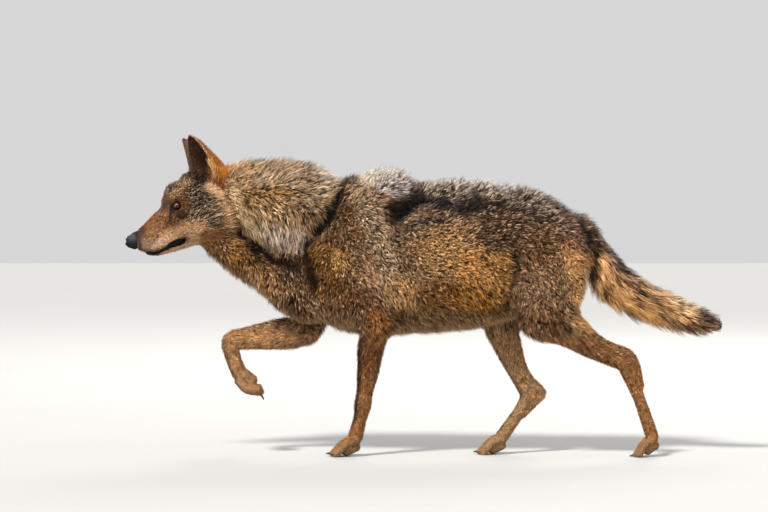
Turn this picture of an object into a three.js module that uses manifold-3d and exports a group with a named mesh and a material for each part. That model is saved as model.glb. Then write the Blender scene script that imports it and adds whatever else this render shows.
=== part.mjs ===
// A life-size grey wolf of the Iberian kind, walking, as a still display model.
//
// Millimetres, +Z up. The wolf faces -X, its left side faces -Y and it stands on the floor z = 0.
// It walks with the left fore, right hind and left hind feet on the floor and the right fore foot
// lifted. The body is one smooth shape, given by a field that is negative inside. Each named part
// is meshed from that field on a grid of its own and parted from its neighbours by thin cuts.
import * as THREE from "three";
import { mergeVertices } from "three/addons/utils/BufferGeometryUtils.js";
import Module from "manifold-3d";

const wasm = await Module();
wasm.setup();

// ---------------------------------------------------------------- driving dimensions

const LENGTH_CENTRE = -2; // x half way between nose and tail tip, moved to 0 at the end
const SIDE_CENTRE = 0.2; // y half way between the widest points, moved to 0 at the end
const CUT_GAP = 0.4; // width of the cut between two neighbouring parts
const CLAW_RADIUS = 4;
const BLEND = 22; // how softly two overlapping forms run into each other
const HEAD_TURN = THREE.MathUtils.degToRad(8.5); // the head looks a little to the wolf's left
const HEAD_PIVOT = { x: -520, y: 0 };
const EYE = { x: -622, y: 37, z: 629, radius: 12 };
const EYE_SOCKET = { x: -636, y: 53, z: 629, radius: 17, blend: 12 };

// ---------------------------------------------------------------- the forms of the body

// A form is a chain of rounded lengths with an oval section. A station is
// [x, y, z, r, side]: its centre, its radius up and down, and its radius sideways.
// taper makes the sections narrower above their centre and wider below it. upright keeps every
// section in a vertical plane across the body, so that stations give the back's and belly's lines.
function form(stations, { blend = BLEND, taper = 0, steps = 3, upright = false } = {}) {
  const path = new THREE.CatmullRomCurve3(stations.map(([x, y, z]) => new THREE.Vector3(x, y, z)));
  const sizes = new THREE.CatmullRomCurve3(
    stations.map(([, , , r, side = r]) => new THREE.Vector3(r, side, 0)),
    false,
    "catmullrom",
    0.4,
  );
  const count = (stations.length - 1) * steps;
  const spans = [];
  for (let i = 0; i < count; i++) {
    const [a, b] = [path.getPoint(i / count), path.getPoint((i + 1) / count)];
    const [s, e] = [sizes.getPoint(i / count), sizes.getPoint((i + 1) / count)];
    const d = b.clone().sub(a);
    const along = d.clone().normalize();
    const lateral = new THREE.Vector3(0, 1, 0).addScaledVector(along, -along.y).normalize();
    const up = lateral.clone().cross(along).multiplyScalar(lateral.clone().cross(along).z < 0 ? -1 : 1);
    spans.push({ a, d, lateral, up, lengthSq: d.lengthSq(), r0: s.x, r1: e.x, side0: s.y, side1: e.y });
  }
  return { spans, blend, taper, upright };
}

function formField({ spans, taper, upright }, x, y, z) {
  let nearest = Infinity;
  let field = 0;
  for (const { a, d, lateral, up, lengthSq, r0, r1, side0, side1 } of spans) {
    const px = x - a.x;
    const py = y - a.y;
    const pz = z - a.z;
    const along = upright ? px / d.x : (px * d.x + py * d.y + pz * d.z) / lengthSq;
    const t = Math.min(1, Math.max(0, along));
    const qx = px - t * d.x;
    const qy = py - t * d.y;
    const qz = pz - t * d.z;
    const distanceSq = qx * qx + qy * qy + qz * qz;
    const distance = upright ? Math.abs(qx) : distanceSq;
    if (distance >= nearest) continue;
    nearest = distance;
    const r = r0 + t * (r1 - r0);
    const across = qx * lateral.x + qy * lateral.y + qz * lateral.z;
    const height = qx * up.x + qy * up.y + qz * up.z;
    const side = (side0 + t * (side1 - side0)) * (1 - taper * Math.max(-1, Math.min(1, height / r)));
    const rest = Math.max(0, distanceSq - across * across);
    const reach = Math.sqrt((across * across) / (side * side) + rest / (r * r));
    field = (reach - 1) * Math.min(r, side);
  }
  return field;
}

const mirrored = (stations) => stations.map(([x, y, ...rest]) => [x, -y, ...rest]);
const bothSides = (stations, options) => [form(stations, options), form(mirrored(stations), options)];

// Joins two fields, rounding the crease between them over the distance k.
function smoothMin(a, b, k) {
  const h = Math.max(k - Math.abs(a - b), 0) / k;
  return Math.min(a, b) - (h * h * k) / 4;
}

const joined = (forms, x, y, z) =>
  forms.reduce((field, f) => smoothMin(field, formField(f, x, y, z), f.blend), 1e3);

// The trunk, from the breast to the seat. Rows are [x, top, bottom, half width].
const TRUNK = [
  [-300, 606, 390, 84],
  [-262, 658, 340, 102],
  [-215, 692, 312, 116],
  [-185, 697, 305, 121],
  [-150, 702, 301, 124],
  [-92, 704, 299, 127],
  [-30, 690, 301, 130],
  [10, 690, 304, 132],
  [60, 697, 307, 133],
  [120, 694, 312, 131],
  [200, 684, 332, 122],
  [265, 675, 366, 112],
  [318, 648, 408, 100],
  [368, 614, 466, 78],
].map(([x, top, bottom, width]) => [x, 0, (top + bottom) / 2, (top - bottom) / 2, width]);

// The tuft of long hair that stands on the withers.
const WITHERS = [
  [-176, 0, 668, 38, 62],
  [-140, 0, 671, 39, 60],
  [-92, 0, 680, 39, 56],
  [-62, 0, 678, 34, 50],
];

// The thick mane over the neck, and the leaner throat that shows below it.
const MANE = [
  [-505, 0, 650, 74, 78],
  [-470, 0, 648, 90, 96],
  [-415, 0, 637, 109, 110],
  [-350, 0, 623, 124, 118],
  [-285, 0, 615, 121, 120],
  [-245, 0, 609, 105, 114],
  [-215, 0, 603, 84, 104],
];
const THROAT = [
  [-545, 0, 572, 46, 50],
  [-495, 0, 530, 54, 62],
  [-440, 0, 492, 60, 72],
  [-386, 0, 452, 54, 80],
  [-334, 0, 416, 64, 88],
  [-290, 0, 396, 70, 92],
];

// The shoulder blade with its muscle, down to the elbow, on the supporting and the lifted side.
const LEFT_SHOULDER = [
  [-104, -58, 664, 40, 32],
  [-150, -80, 590, 66, 42],
  [-205, -86, 490, 68, 45],
  [-172, -82, 410, 62, 42],
  [-118, -72, 350, 46, 36],
];
const RIGHT_SHOULDER = [
  [-110, 58, 664, 40, 32],
  [-165, 80, 590, 64, 42],
  [-232, 86, 490, 66, 45],
  [-256, 82, 410, 56, 42],
  [-284, 74, 335, 44, 36],
];
const LEFT_FORELEG = [
  [-120, -68, 335, 42, 35],
  [-132, -60, 285, 37, 31],
  [-141, -48, 215, 30, 26],
  [-150, -38, 160, 23, 21],
  [-154, -34, 130, 24, 23],
  [-161, -30, 95, 19, 20],
  [-172, -27, 52, 21, 24],
];
const RIGHT_FORELEG = [
  [-298, 72, 305, 38, 34],
  [-340, 66, 303, 44, 33],
  [-400, 58, 296, 37, 28],
  [-448, 52, 290, 31, 24],
  [-483, 49, 281, 28, 25],
  [-480, 47, 243, 22, 22],
  [-465, 45, 205, 22, 24],
];
const LEFT_THIGH = [
  [344, -50, 545, 52, 44],
  [330, -62, 490, 82, 52],
  [316, -70, 420, 88, 52],
  [300, -76, 362, 64, 44],
];
const LEFT_SHANK = [
  [288, -78, 350, 57, 41],
  [348, -76, 330, 54, 39],
  [408, -70, 279, 31, 27],
  [468, -64, 250, 26, 22],
  [499, -60, 238, 28, 21],
  [513, -56, 205, 23, 19],
  [536, -50, 145, 17, 17],
  [557, -44, 85, 18, 20],
  [568, -41, 52, 18, 24],
];
const LEFT_TENDON = [
  [388, -72, 330, 17, 16],
  [446, -66, 288, 12, 12],
  [508, -60, 260, 13, 12],
  [530, -56, 225, 11, 11],
  [540, -50, 180, 9, 10],
];
const RIGHT_THIGH = [
  [345, 50, 545, 52, 44],
  [314, 62, 490, 82, 52],
  [262, 70, 420, 84, 50],
  [206, 76, 362, 62, 44],
];
const RIGHT_SHANK = [
  [190, 76, 342, 54, 40],
  [199, 72, 295, 41, 34],
  [220, 64, 235, 30, 26],
  [246, 57, 182, 25, 22],
  [262, 54, 148, 25, 21],
  [243, 48, 112, 18, 18],
  [216, 42, 74, 18, 20],
  [196, 38, 46, 19, 24],
];
const RIGHT_TENDON = [
  [226, 70, 290, 15, 16],
  [254, 60, 205, 10, 12],
  [294, 55, 156, 15, 12],
  [279, 53, 131, 12, 12],
  [250, 49, 100, 9, 10],
];
const TAIL = [
  [392, 0, 548, 38, 38],
  [434, 0, 496, 43, 40],
  [470, 0, 440, 56, 45],
  [514, 0, 406, 57, 46],
  [562, 0, 381, 53, 44],
  [610, 0, 362, 48, 41],
  [655, 0, 345, 42, 36],
  [700, 0, 334, 31, 27],
  [745, 0, 325, 15, 14],
];

// A foot. ankle is where it bends, ahead the way the toes point and down the way the pads face,
// both in the vertical plane. footPoint gives the place that lies so far forward, sideways and
// below in that foot's own frame.
const PAWS = {
  left_fore: { ankle: [-172, -26, 43], ahead: [-0.955, -0.297], down: [-0.2, -0.98], size: 1.02 },
  right_fore: { ankle: [-464, 44, 184], ahead: [0.66, -0.75], down: [0.75, 0.66], size: 1.04 },
  left_hind: { ankle: [570, -40, 46], ahead: [-0.88, -0.47], down: [0.1, -0.99], size: 0.92 },
  right_hind: { ankle: [194, 37, 41], ahead: [-0.955, -0.297], down: [-0.2, -0.98], size: 0.98 },
};
const TOES = [-1.5, -0.5, 0.5, 1.5].map((place) => ({
  root: [0, place * 11, 2],
  middle: [30 - 4 * Math.abs(place), place * 17, 3],
  tip: [56 - 8 * Math.abs(place), place * 18, 18 + 2.2 * Math.abs(place)],
  claw: [77 - 8 * Math.abs(place), place * 18.5, 13 + 2.2 * Math.abs(place)],
}));

function footPoint({ ankle, ahead, down, size }, [forward, sideways, below]) {
  return [
    ankle[0] + size * (forward * ahead[0] + below * down[0]),
    ankle[1] + size * sideways,
    ankle[2] + size * (forward * ahead[1] + below * down[1]),
  ];
}

function pawForms(foot) {
  const station = (place, r, side = r) => [...footPoint(foot, place), r * foot.size, side * foot.size];
  const toes = TOES.map(({ root, middle, tip }) =>
    form([station(root, 14), station(middle, 12.5), station(tip, 11)], { blend: 4, steps: 2 }),
  );
  const heelPad = form([station([-2, 0, 20], 15, 24), station([18, 0, 26], 13, 21)], { blend: 8 });
  return [...toes, heelPad];
}

const bodyForms = [
  form(TRUNK, { taper: 0.16, blend: 26, upright: true }),
  form(WITHERS, { blend: 10 }),
  form(MANE, { blend: 26, upright: true }),
  form(THROAT, { blend: 26 }),
  form(LEFT_SHOULDER, { blend: 26 }),
  form(RIGHT_SHOULDER, { blend: 26 }),
  form(LEFT_THIGH, { blend: 30 }),
  form(RIGHT_THIGH, { blend: 30 }),
  form(LEFT_FORELEG),
  form(RIGHT_FORELEG),
  form(LEFT_SHANK),
  form(RIGHT_SHANK),
  form(LEFT_TENDON, { blend: 12 }),
  form(RIGHT_TENDON, { blend: 12 }),
  form(TAIL, { blend: 24 }),
  ...Object.values(PAWS).flatMap(pawForms),
];

// The head, drawn looking straight ahead and then turned about HEAD_PIVOT.
const headForms = [
  form(
    [
      [-600, 0, 637, 58, 54],
      [-576, 0, 643, 75, 70],
      [-520, 0, 652, 70, 78],
      [-490, 0, 652, 66, 78],
    ],
    { blend: 16 },
  ),
  form(
    [
      [-622, 0, 592, 50, 44],
      [-652, 0, 573, 44, 37],
      [-682, 0, 554, 36, 31],
      [-707, 0, 539, 27, 28],
      [-722, 0, 537, 22, 24],
    ],
    { blend: 18 },
  ),
  ...bothSides(
    [
      [-622, 36, 578, 28, 22],
      [-586, 50, 582, 40, 32],
      [-540, 58, 592, 50, 36],
      [-505, 56, 604, 48, 36],
    ],
    { blend: 26 },
  ),
  ...bothSides(
    [
      [-646, 20, 636, 9, 8],
      [-632, 33, 648, 10, 11],
      [-604, 46, 655, 12, 10],
    ],
    { blend: 14 },
  ),
  // The upper lips hang a little over the lower jaw.
  ...bothSides(
    [
      [-700, 15, 523, 12, 10],
      [-672, 22, 530, 14, 11],
      [-640, 31, 545, 16, 12],
      [-606, 40, 562, 18, 12],
    ],
    { blend: 14 },
  ),
  form(
    [
      [-566, 0, 553, 26, 44],
      [-606, 0, 535, 19, 35],
      [-645, 0, 520, 14.5, 26],
      [-676, 0, 512, 12.5, 20],
      [-690, 0, 511, 9.5, 15],
    ],
    { blend: 10 },
  ),
];
const noseForms = [
  form(
    [
      [-714, 0, 545, 15, 19],
      [-726, 0, 543, 17, 21],
      [-732.5, 0, 538, 16.5, 20],
      [-727, 0, 528, 12, 15],
    ],
    { blend: 6 },
  ),
];

const turnCos = Math.cos(HEAD_TURN);
const turnSin = Math.sin(HEAD_TURN);

// A point of the body's frame as the head's own frame has it.
function inHead(x, y) {
  const dx = x - HEAD_PIVOT.x;
  const dy = y - HEAD_PIVOT.y;
  return [HEAD_PIVOT.x + dx * turnCos + dy * turnSin, HEAD_PIVOT.y - dx * turnSin + dy * turnCos];
}

const headTurned = new THREE.Matrix4()
  .makeTranslation(HEAD_PIVOT.x, HEAD_PIVOT.y, 0)
  .multiply(new THREE.Matrix4().makeRotationZ(HEAD_TURN))
  .multiply(new THREE.Matrix4().makeTranslation(-HEAD_PIVOT.x, -HEAD_PIVOT.y, 0));

function headField(x, y, z) {
  const [hx, hy] = inHead(x, y);
  const field = joined(headForms, hx, hy, z);
  const { blend, radius } = EYE_SOCKET;
  const socket = Math.hypot(hx - EYE_SOCKET.x, Math.abs(hy) - EYE_SOCKET.y, z - EYE_SOCKET.z) - radius;
  return -smoothMin(-field, socket, blend);
}

const bodyField = (x, y, z) => joined(bodyForms, x, y, z);
const wolfField = (x, y, z) => smoothMin(bodyField(x, y, z), headField(x, y, z), BLEND);
const noseField = (grow) => (x, y, z) => {
  const [hx, hy] = inHead(x, y);
  return joined(noseForms, hx, hy, z) - grow;
};

// ---------------------------------------------------------------- from field to solid

const CORNERS = [0, 1, 2, 3, 4, 5, 6, 7].map((c) => [c & 1, (c >> 1) & 1, c >> 2]);
const EDGES = CORNERS.flatMap((_, a) => [1, 2, 4].filter((bit) => !(a & bit)).map((bit) => [a, a | bit]));

// Where the inside corners of a grid face meet only across its diagonal, takes the outside corner
// nearest the surface in as well, so that no edge of the net is shared by more than two quads.
function unpinch(values, n) {
  const step = [1, n[0], n[0] * n[1]];
  for (let changed = true; changed; ) {
    changed = false;
    for (let c = 0; c < values.length; c++)
      for (const [u, v] of [[0, 1], [0, 2], [1, 2]]) {
        const face = [c, c + step[u], c + step[u] + step[v], c + step[v]];
        const inside = face.map((i) => values[i] < 0);
        if (inside[0] !== inside[2] || inside[1] !== inside[3] || inside[0] === inside[1]) continue;
        const [p, q] = face.filter((i) => values[i] >= 0);
        values[values[p] < values[q] ? p : q] = -1e-3;
        changed = true;
      }
  }
}

// Surface nets: one vertex in each grid cell that the surface passes through, one quad round
// each grid edge that it crosses. low and high are corners of the box, cell the grid's steps.
function surfaceNet(field, low, high, cell) {
  const n = [0, 1, 2].map((i) => Math.ceil((high[i] - low[i]) / cell[i]) + 1);
  const at = (i, j, k) => i + n[0] * (j + n[1] * k);
  const values = new Float64Array(n[0] * n[1] * n[2]);
  for (let k = 0; k < n[2]; k++)
    for (let j = 0; j < n[1]; j++)
      for (let i = 0; i < n[0]; i++) {
        const border = [i, j, k].some((v, axis) => v === 0 || v === n[axis] - 1);
        const value = field(low[0] + i * cell[0], low[1] + j * cell[1], low[2] + k * cell[2]);
        values[at(i, j, k)] = border ? Math.max(value, Math.min(...cell) * 0.3) : value;
      }
  unpinch(values, n);
  const positions = [];
  const index = [];
  const vertexOf = new Map();
  for (let k = 0; k < n[2] - 1; k++)
    for (let j = 0; j < n[1] - 1; j++)
      for (let i = 0; i < n[0] - 1; i++) {
        const corner = CORNERS.map(([a, b, c]) => values[at(i + a, j + b, k + c)]);
        if (corner.every((v) => v < 0) || corner.every((v) => v >= 0)) continue;
        const sum = [0, 0, 0];
        let crossings = 0;
        for (const [a, b] of EDGES) {
          if (corner[a] < 0 === corner[b] < 0) continue;
          const t = corner[a] / (corner[a] - corner[b]);
          for (let axis = 0; axis < 3; axis++)
            sum[axis] += CORNERS[a][axis] + t * (CORNERS[b][axis] - CORNERS[a][axis]);
          crossings++;
        }
        vertexOf.set(at(i, j, k), positions.length / 3);
        [i, j, k].forEach((v, axis) => positions.push(low[axis] + (v + sum[axis] / crossings) * cell[axis]));
      }
  const quad = (corners, flip) => {
    const [a, b, c, d] = corners.map(([p, q, r]) => vertexOf.get(p + n[0] * (q + n[1] * r)));
    index.push(...(flip ? [a, c, b, a, d, c] : [a, b, c, a, c, d]));
  };
  for (let k = 0; k < n[2] - 1; k++)
    for (let j = 0; j < n[1] - 1; j++)
      for (let i = 0; i < n[0] - 1; i++) {
        const inside = values[at(i, j, k)] < 0;
        const [x, y, z] = [i - 1, j - 1, k - 1];
        if (inside !== values[at(i + 1, j, k)] < 0) quad([[i, j, k], [i, y, k], [i, y, z], [i, j, z]], !inside);
        if (inside !== values[at(i, j + 1, k)] < 0) quad([[i, j, k], [i, j, z], [x, j, z], [x, j, k]], !inside);
        if (inside !== values[at(i, j, k + 1)] < 0) quad([[i, j, k], [x, j, k], [x, y, k], [i, y, k]], !inside);
      }
  return new THREE.BufferGeometry()
    .setAttribute("position", new THREE.BufferAttribute(settled(field, positions, cell), 3))
    .setIndex(index);
}

// Moves each vertex on to the surface along the field's slope, by less than half a cell.
function settled(field, positions, cell) {
  const most = Math.min(...cell) * 0.45;
  const h = 0.5;
  const out = new Float32Array(positions);
  for (let i = 0; i < out.length; i += 3) {
    const [x, y, z] = out.subarray(i, i + 3);
    const value = field(x, y, z);
    const slope = new THREE.Vector3(
      field(x + h, y, z) - field(x - h, y, z),
      field(x, y + h, z) - field(x, y - h, z),
      field(x, y, z + h) - field(x, y, z - h),
    ).divideScalar(2 * h);
    const step = THREE.MathUtils.clamp(-value / Math.max(slope.length(), 0.2), -most, most);
    slope.normalize().multiplyScalar(step);
    out.set([x + slope.x, y + slope.y, z + slope.z], i);
  }
  return out;
}

function solidOf(geometry) {
  const bare = geometry.clone();
  bare.deleteAttribute("normal");
  bare.deleteAttribute("uv");
  const merged = mergeVertices(bare, 1e-3);
  return new wasm.Manifold(
    new wasm.Mesh({
      numProp: 3,
      vertProperties: new Float32Array(merged.attributes.position.array),
      triVerts: new Uint32Array(merged.index.array),
    }),
  );
}

function geometryOf(solid) {
  const largest = solid.decompose().reduce((a, b) => (b.volume() > a.volume() ? b : a));
  const { vertProperties, triVerts, numProp } = largest.getMesh();
  const positions = new Float32Array((vertProperties.length / numProp) * 3);
  for (let i = 0; i < positions.length / 3; i++)
    positions.set(vertProperties.subarray(i * numProp, i * numProp + 3), i * 3);
  return new THREE.BufferGeometry()
    .setAttribute("position", new THREE.BufferAttribute(positions, 3))
    .setIndex(new THREE.BufferAttribute(new Uint32Array(triVerts), 1));
}

// ---------------------------------------------------------------- cutting regions

// An outline drawn in the side view, moved outward by a distance (inward if negative).
function offsetOutline(outline, distance) {
  const turn = THREE.ShapeUtils.area(outline.map(([x, z]) => new THREE.Vector2(x, z))) > 0 ? 1 : -1;
  const edge = (i) => {
    const a = new THREE.Vector2(...outline[(i + outline.length) % outline.length]);
    const d = new THREE.Vector2(...outline[(i + 1) % outline.length]).sub(a).normalize();
    return { a: a.add(new THREE.Vector2(d.y, -d.x).multiplyScalar(turn * distance)), d };
  };
  return outline.map((_, i) => {
    const [p, q] = [edge(i - 1), edge(i)];
    const cross = p.d.cross(q.d);
    const t = Math.abs(cross) < 1e-6 ? 0 : q.a.clone().sub(p.a).cross(q.d) / cross;
    return Math.abs(cross) < 1e-6 ? q.a : p.a.clone().addScaledVector(p.d, t);
  });
}

// The solid under a side-view outline, between two y values, grown on all sides.
function region({ outline, y = [-400, 400], turned = false }, grow = 0) {
  const depth = y[1] - y[0] + 2 * grow;
  const geometry = new THREE.ExtrudeGeometry(new THREE.Shape(offsetOutline(outline, grow)), {
    depth,
    bevelEnabled: false,
  });
  geometry.rotateX(Math.PI / 2).translate(0, y[1] + grow, 0);
  if (turned) geometry.applyMatrix4(headTurned);
  return solidOf(geometry);
}

const LEFT = (inner) => [-300, -inner];
const RIGHT = (inner) => [inner, 300];

// Points of the side view that several outlines share.
const NAPE = [[-466, 800], [-470, 640], [-492, 560], [-535, 470], [-560, 400]];
const WITHERS_CREASE = [[-440, 400], [-345, 450], [-288, 490], [-252, 600], [-205, 790]];
const SEAT = [[413, 345], [413, 505], [432, 640]];
const MID_TAIL = [[520, 280], [612, 470]];

const REGIONS = {
  head: { outline: [[-900, 800], [-900, 400], ...NAPE.toReversed()] },
  lower_jaw: {
    outline: [
      [-760, 504], [-708, 507], [-682, 511], [-655, 518], [-630, 527], [-592, 541],
      [-582, 530], [-574, 480], [-760, 480],
    ],
    turned: true,
  },
  neck: { outline: [...NAPE, ...WITHERS_CREASE] },
  chest: { outline: [[20, 790], [20, 150], [-440, 150], ...WITHERS_CREASE] },
  loin: { outline: [[20, 790], [220, 790], [220, 150], [20, 150]] },
  rump: { outline: [[220, 790], [220, 250], [413, 250], ...SEAT, [440, 790]] },
  tail_base: { outline: [...SEAT, [612, 640], MID_TAIL[1], MID_TAIL[0], [413, 280]] },
  tail_tip: { outline: [...MID_TAIL, [900, 470], [900, 280]] },
  foreleg_left: { outline: [[-230, 318], [-40, 318], [-40, 62], [-230, 62]], y: LEFT(10) },
  forepaw_left: { outline: [[-300, 62], [-40, 62], [-40, -50], [-300, -50]], y: LEFT(-60) },
  foreleg_right: {
    outline: [
      [-600, 395], [-440, 380], [-385, 362], [-345, 348], [-225, 340], [-225, 226],
      [-400, 226], [-560, 175], [-600, 175],
    ],
    y: RIGHT(12),
  },
  forepaw_right: {
    outline: [[-400, 226], [-560, 175], [-600, 80], [-340, 80], [-340, 226]],
    y: RIGHT(-60),
  },
  thigh_left: {
    outline: [[205, 420], [250, 462], [413, 505], [413, 345], [322, 230], [205, 230]],
    y: LEFT(18),
  },
  shank_left: {
    outline: [[413, 345], [640, 305], [640, 62], [450, 62], [450, 192], [322, 230]],
    y: LEFT(18),
  },
  hindpaw_left: { outline: [[450, 62], [640, 62], [640, -50], [450, -50]], y: LEFT(-60) },
  thigh_right: {
    outline: [[100, 330], [205, 440], [250, 470], [413, 505], [413, 345], [340, 300], [100, 245]],
    y: RIGHT(20),
  },
  shank_right: { outline: [[100, 245], [340, 300], [360, 110], [330, 62], [100, 62]], y: RIGHT(10) },
  hindpaw_right: { outline: [[60, 62], [330, 62], [330, -50], [60, -50]], y: RIGHT(-60) },
};

// The open lips: a groove into each side of the mouth, in front of its corner.
const MOUTH_GROOVE = [[-668, 512], [-632, 534], [-602, 548], [-590, 541], [-602, 530], [-650, 514]];
const MOUTH_GROOVE_INSIDE = 16; // y where the groove ends, measured from the middle

// ---------------------------------------------------------------- materials

const paint = (color, roughness) => new THREE.MeshStandardMaterial({ color, roughness, metalness: 0 });
const COAT = {
  grizzled: paint(0x7d6a52, 0.95),
  pale: paint(0xb09a7a, 0.95),
  dark: paint(0x4c4036, 0.95),
  tawny: paint(0x96653a, 0.95),
  ginger: paint(0xb06a2c, 0.95),
};
const LEATHER = paint(0x1e1c1f, 0.45);
const HORN = paint(0x2b2622, 0.4);
const IRIS = paint(0xb87a35, 0.12);

// ---------------------------------------------------------------- the parts

const wolf = new THREE.Group();

function addMesh(name, geometry, material) {
  const mesh = new THREE.Mesh(geometry, material);
  mesh.name = name;
  wolf.add(mesh);
}

const FLOOR_CUT = solidOf(new THREE.BoxGeometry(4000, 2000, 400).translate(0, 0, -200));

// Meshes the field in a box, keeps what lies in the part's own region and takes other regions
// and cutters away.
function fleshPart(name, material, { low, high, cell }, { without = [], cutters = [] } = {}) {
  const whole = solidOf(surfaceNet(wolfField, low, high, cell));
  let solid = whole.intersect(region(REGIONS[name], -CUT_GAP / 2)).subtract(FLOOR_CUT);
  for (const other of without) solid = solid.subtract(region(REGIONS[other], CUT_GAP / 2));
  for (const cutter of cutters) solid = solid.subtract(cutter);
  const geometry = geometryOf(solid);
  addMesh(name, geometry, material);
  return geometry;
}

// What of a solid lies outside the flesh that it grows from, with the usual gap between them.
function outsideOf(flesh, solid, growing) {
  const step = growing.clone().normalize().multiplyScalar(CUT_GAP);
  const moved = flesh.clone().translate(...step.toArray());
  return geometryOf(solid.subtract(solidOf(flesh)).subtract(solidOf(moved)));
}

const ball = (place, radius, detail) =>
  solidOf(new THREE.IcosahedronGeometry(radius, detail).translate(...place).applyMatrix4(headTurned));
const nose = (grow) => surfaceNet(noseField(grow), [-766, -66, 500], [-690, 4, 580], [11, 11, 11]);
const eyes = { left: [EYE.x, -EYE.y, EYE.z], right: [EYE.x, EYE.y, EYE.z] };

const mouthGrooves = [LEFT(MOUTH_GROOVE_INSIDE), RIGHT(MOUTH_GROOVE_INSIDE)].map((y) =>
  region({ outline: MOUTH_GROOVE, y, turned: true }),
);
const eyeHoles = Object.values(eyes).map((place) => ball(place, EYE.radius * 1.08, 1));

// An ear is a cupped leaf: sections across it are crescents from the head to the rounded tip.
// Rows are [height above the base, x, y, half width, depth] for the mean of the two ears.
const EAR_SECTIONS = [
  [0, -553, 46, 42, 70],
  [20, -560, 49, 44, 78],
  [39, -565, 53, 44, 74],
  [60, -570, 58, 42, 56],
  [75, -575, 62, 36, 41],
  [91, -582, 66, 28, 29],
  [103, -588, 69, 20, 22],
  [110, -592, 71, 13, 14],
  [113, -594, 72, 7, 7],
];
const EAR = {
  base: 686,
  leftRise: 0.055, // how much taller the left ear stands than the mean, as a share
  facing: new THREE.Vector3(-0.86, 0.5, 0.08),
  thickness: 5.5,
  arcSteps: 6,
};

function earGeometry(side) {
  const facing = EAR.facing.clone().normalize();
  const across = facing.clone().cross(new THREE.Vector3(0, 0, 1)).normalize();
  const positions = [];
  const around = 2 * (EAR.arcSteps + 1);
  for (const [height, x, y, width, depth] of EAR_SECTIONS) {
    const centre = new THREE.Vector3(x, y, EAR.base + height * (1 - side * EAR.leftRise));
    for (let i = 0; i < around; i++) {
      const outer = i <= EAR.arcSteps;
      const angle = Math.PI * ((outer ? i : around - 1 - i) / EAR.arcSteps - 0.5) * (outer ? 1 : 0.94);
      const wall = outer ? 0 : Math.min(EAR.thickness, width * 0.5);
      const point = centre
        .clone()
        .addScaledVector(across, Math.sin(angle) * (width - wall))
        .addScaledVector(facing, -Math.cos(angle) * Math.max(depth - wall, 0.4) + (outer ? 0 : wall * 0.2));
      positions.push(point.x, point.y * side, point.z);
    }
  }
  const index = [];
  for (let ring = 0; ring < EAR_SECTIONS.length - 1; ring++)
    for (let i = 0; i < around; i++) {
      const [a, b] = [ring * around + i, ring * around + ((i + 1) % around)];
      index.push(a, b, a + around, b, b + around, a + around);
    }
  for (const ring of [0, EAR_SECTIONS.length - 1])
    for (let i = 0; i < EAR.arcSteps; i++) {
      const first = ring * around;
      const [a, b, c, d] = [first + i, first + i + 1, first + around - 2 - i, first + around - 1 - i];
      index.push(...(ring ? [a, b, c, a, c, d] : [a, c, b, a, d, c]));
    }
  if (side < 0) index.reverse();
  const geometry = new THREE.BufferGeometry();
  geometry.setAttribute("position", new THREE.BufferAttribute(new Float32Array(positions), 3));
  geometry.setIndex(index);
  return geometry;
}

const HEAD_GRID = { low: [-758, -130, 470], high: [-440, 130, 740], cell: [19, 18, 17.5] };
const head = fleshPart("head", COAT.dark, HEAD_GRID, {
  without: ["lower_jaw"],
  cutters: [...mouthGrooves, ...eyeHoles, solidOf(nose(CUT_GAP))],
});
fleshPart(
  "lower_jaw",
  COAT.pale,
  { low: [-724, -90, 485], high: [-550, 50, 565], cell: [19, 13, 10] },
  { cutters: mouthGrooves },
);
addMesh("nose", outsideOf(head, solidOf(nose(0)), new THREE.Vector3(-1, 0, 0)), LEATHER);
for (const [side, place] of Object.entries(eyes))
  addMesh("eye_" + side, geometryOf(ball(place, EYE.radius, 2)), IRIS);
for (const [name, side] of [["ear_left", -1], ["ear_right", 1]]) {
  const ear = solidOf(earGeometry(side).applyMatrix4(headTurned));
  addMesh(name, outsideOf(head, ear, new THREE.Vector3(-0.3, side, 2)), COAT.ginger);
}

fleshPart("neck", COAT.grizzled, { low: [-570, -150, 370], high: [-160, 150, 780], cell: [42, 36, 38] });
fleshPart(
  "chest",
  COAT.grizzled,
  { low: [-470, -170, 260], high: [60, 170, 770], cell: [47, 40, 44] },
  { without: ["foreleg_left", "foreleg_right"] },
);
fleshPart(
  "loin",
  COAT.grizzled,
  { low: [-20, -170, 270], high: [260, 170, 740], cell: [46, 38, 40] },
  { without: ["thigh_left", "thigh_right"] },
);
fleshPart(
  "rump",
  COAT.dark,
  { low: [180, -160, 320], high: [480, 160, 740], cell: [36, 33, 35] },
  { without: ["thigh_left", "thigh_right"] },
);
fleshPart("tail_base", COAT.tawny, { low: [380, -90, 270], high: [640, 90, 680], cell: [30, 25, 28] });
fleshPart("tail_tip", COAT.tawny, { low: [500, -90, 270], high: [790, 90, 500], cell: [26, 21, 22] });

// A limb is one part from the trunk to the ankle, or two that meet at the knee, and then the paw.
const LIMBS = {
  foreleg_left: { low: [-250, -150, 30], high: [-20, 20, 360], cell: [21, 18, 34] },
  foreleg_right: { low: [-540, -10, 160], high: [-200, 150, 400], cell: [28, 20, 20] },
  thigh_left: { low: [180, -160, 210], high: [450, 10, 540], cell: [34, 27, 34] },
  shank_left: { low: [290, -140, 30], high: [610, 10, 380], cell: [23, 18, 25] },
  thigh_right: { low: [80, -10, 210], high: [450, 160, 540], cell: [34, 27, 34] },
  shank_right: { low: [110, 0, 30], high: [370, 140, 330], cell: [22, 18, 24] },
};
for (const [name, grid] of Object.entries(LIMBS)) fleshPart(name, COAT.tawny, grid);

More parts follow.
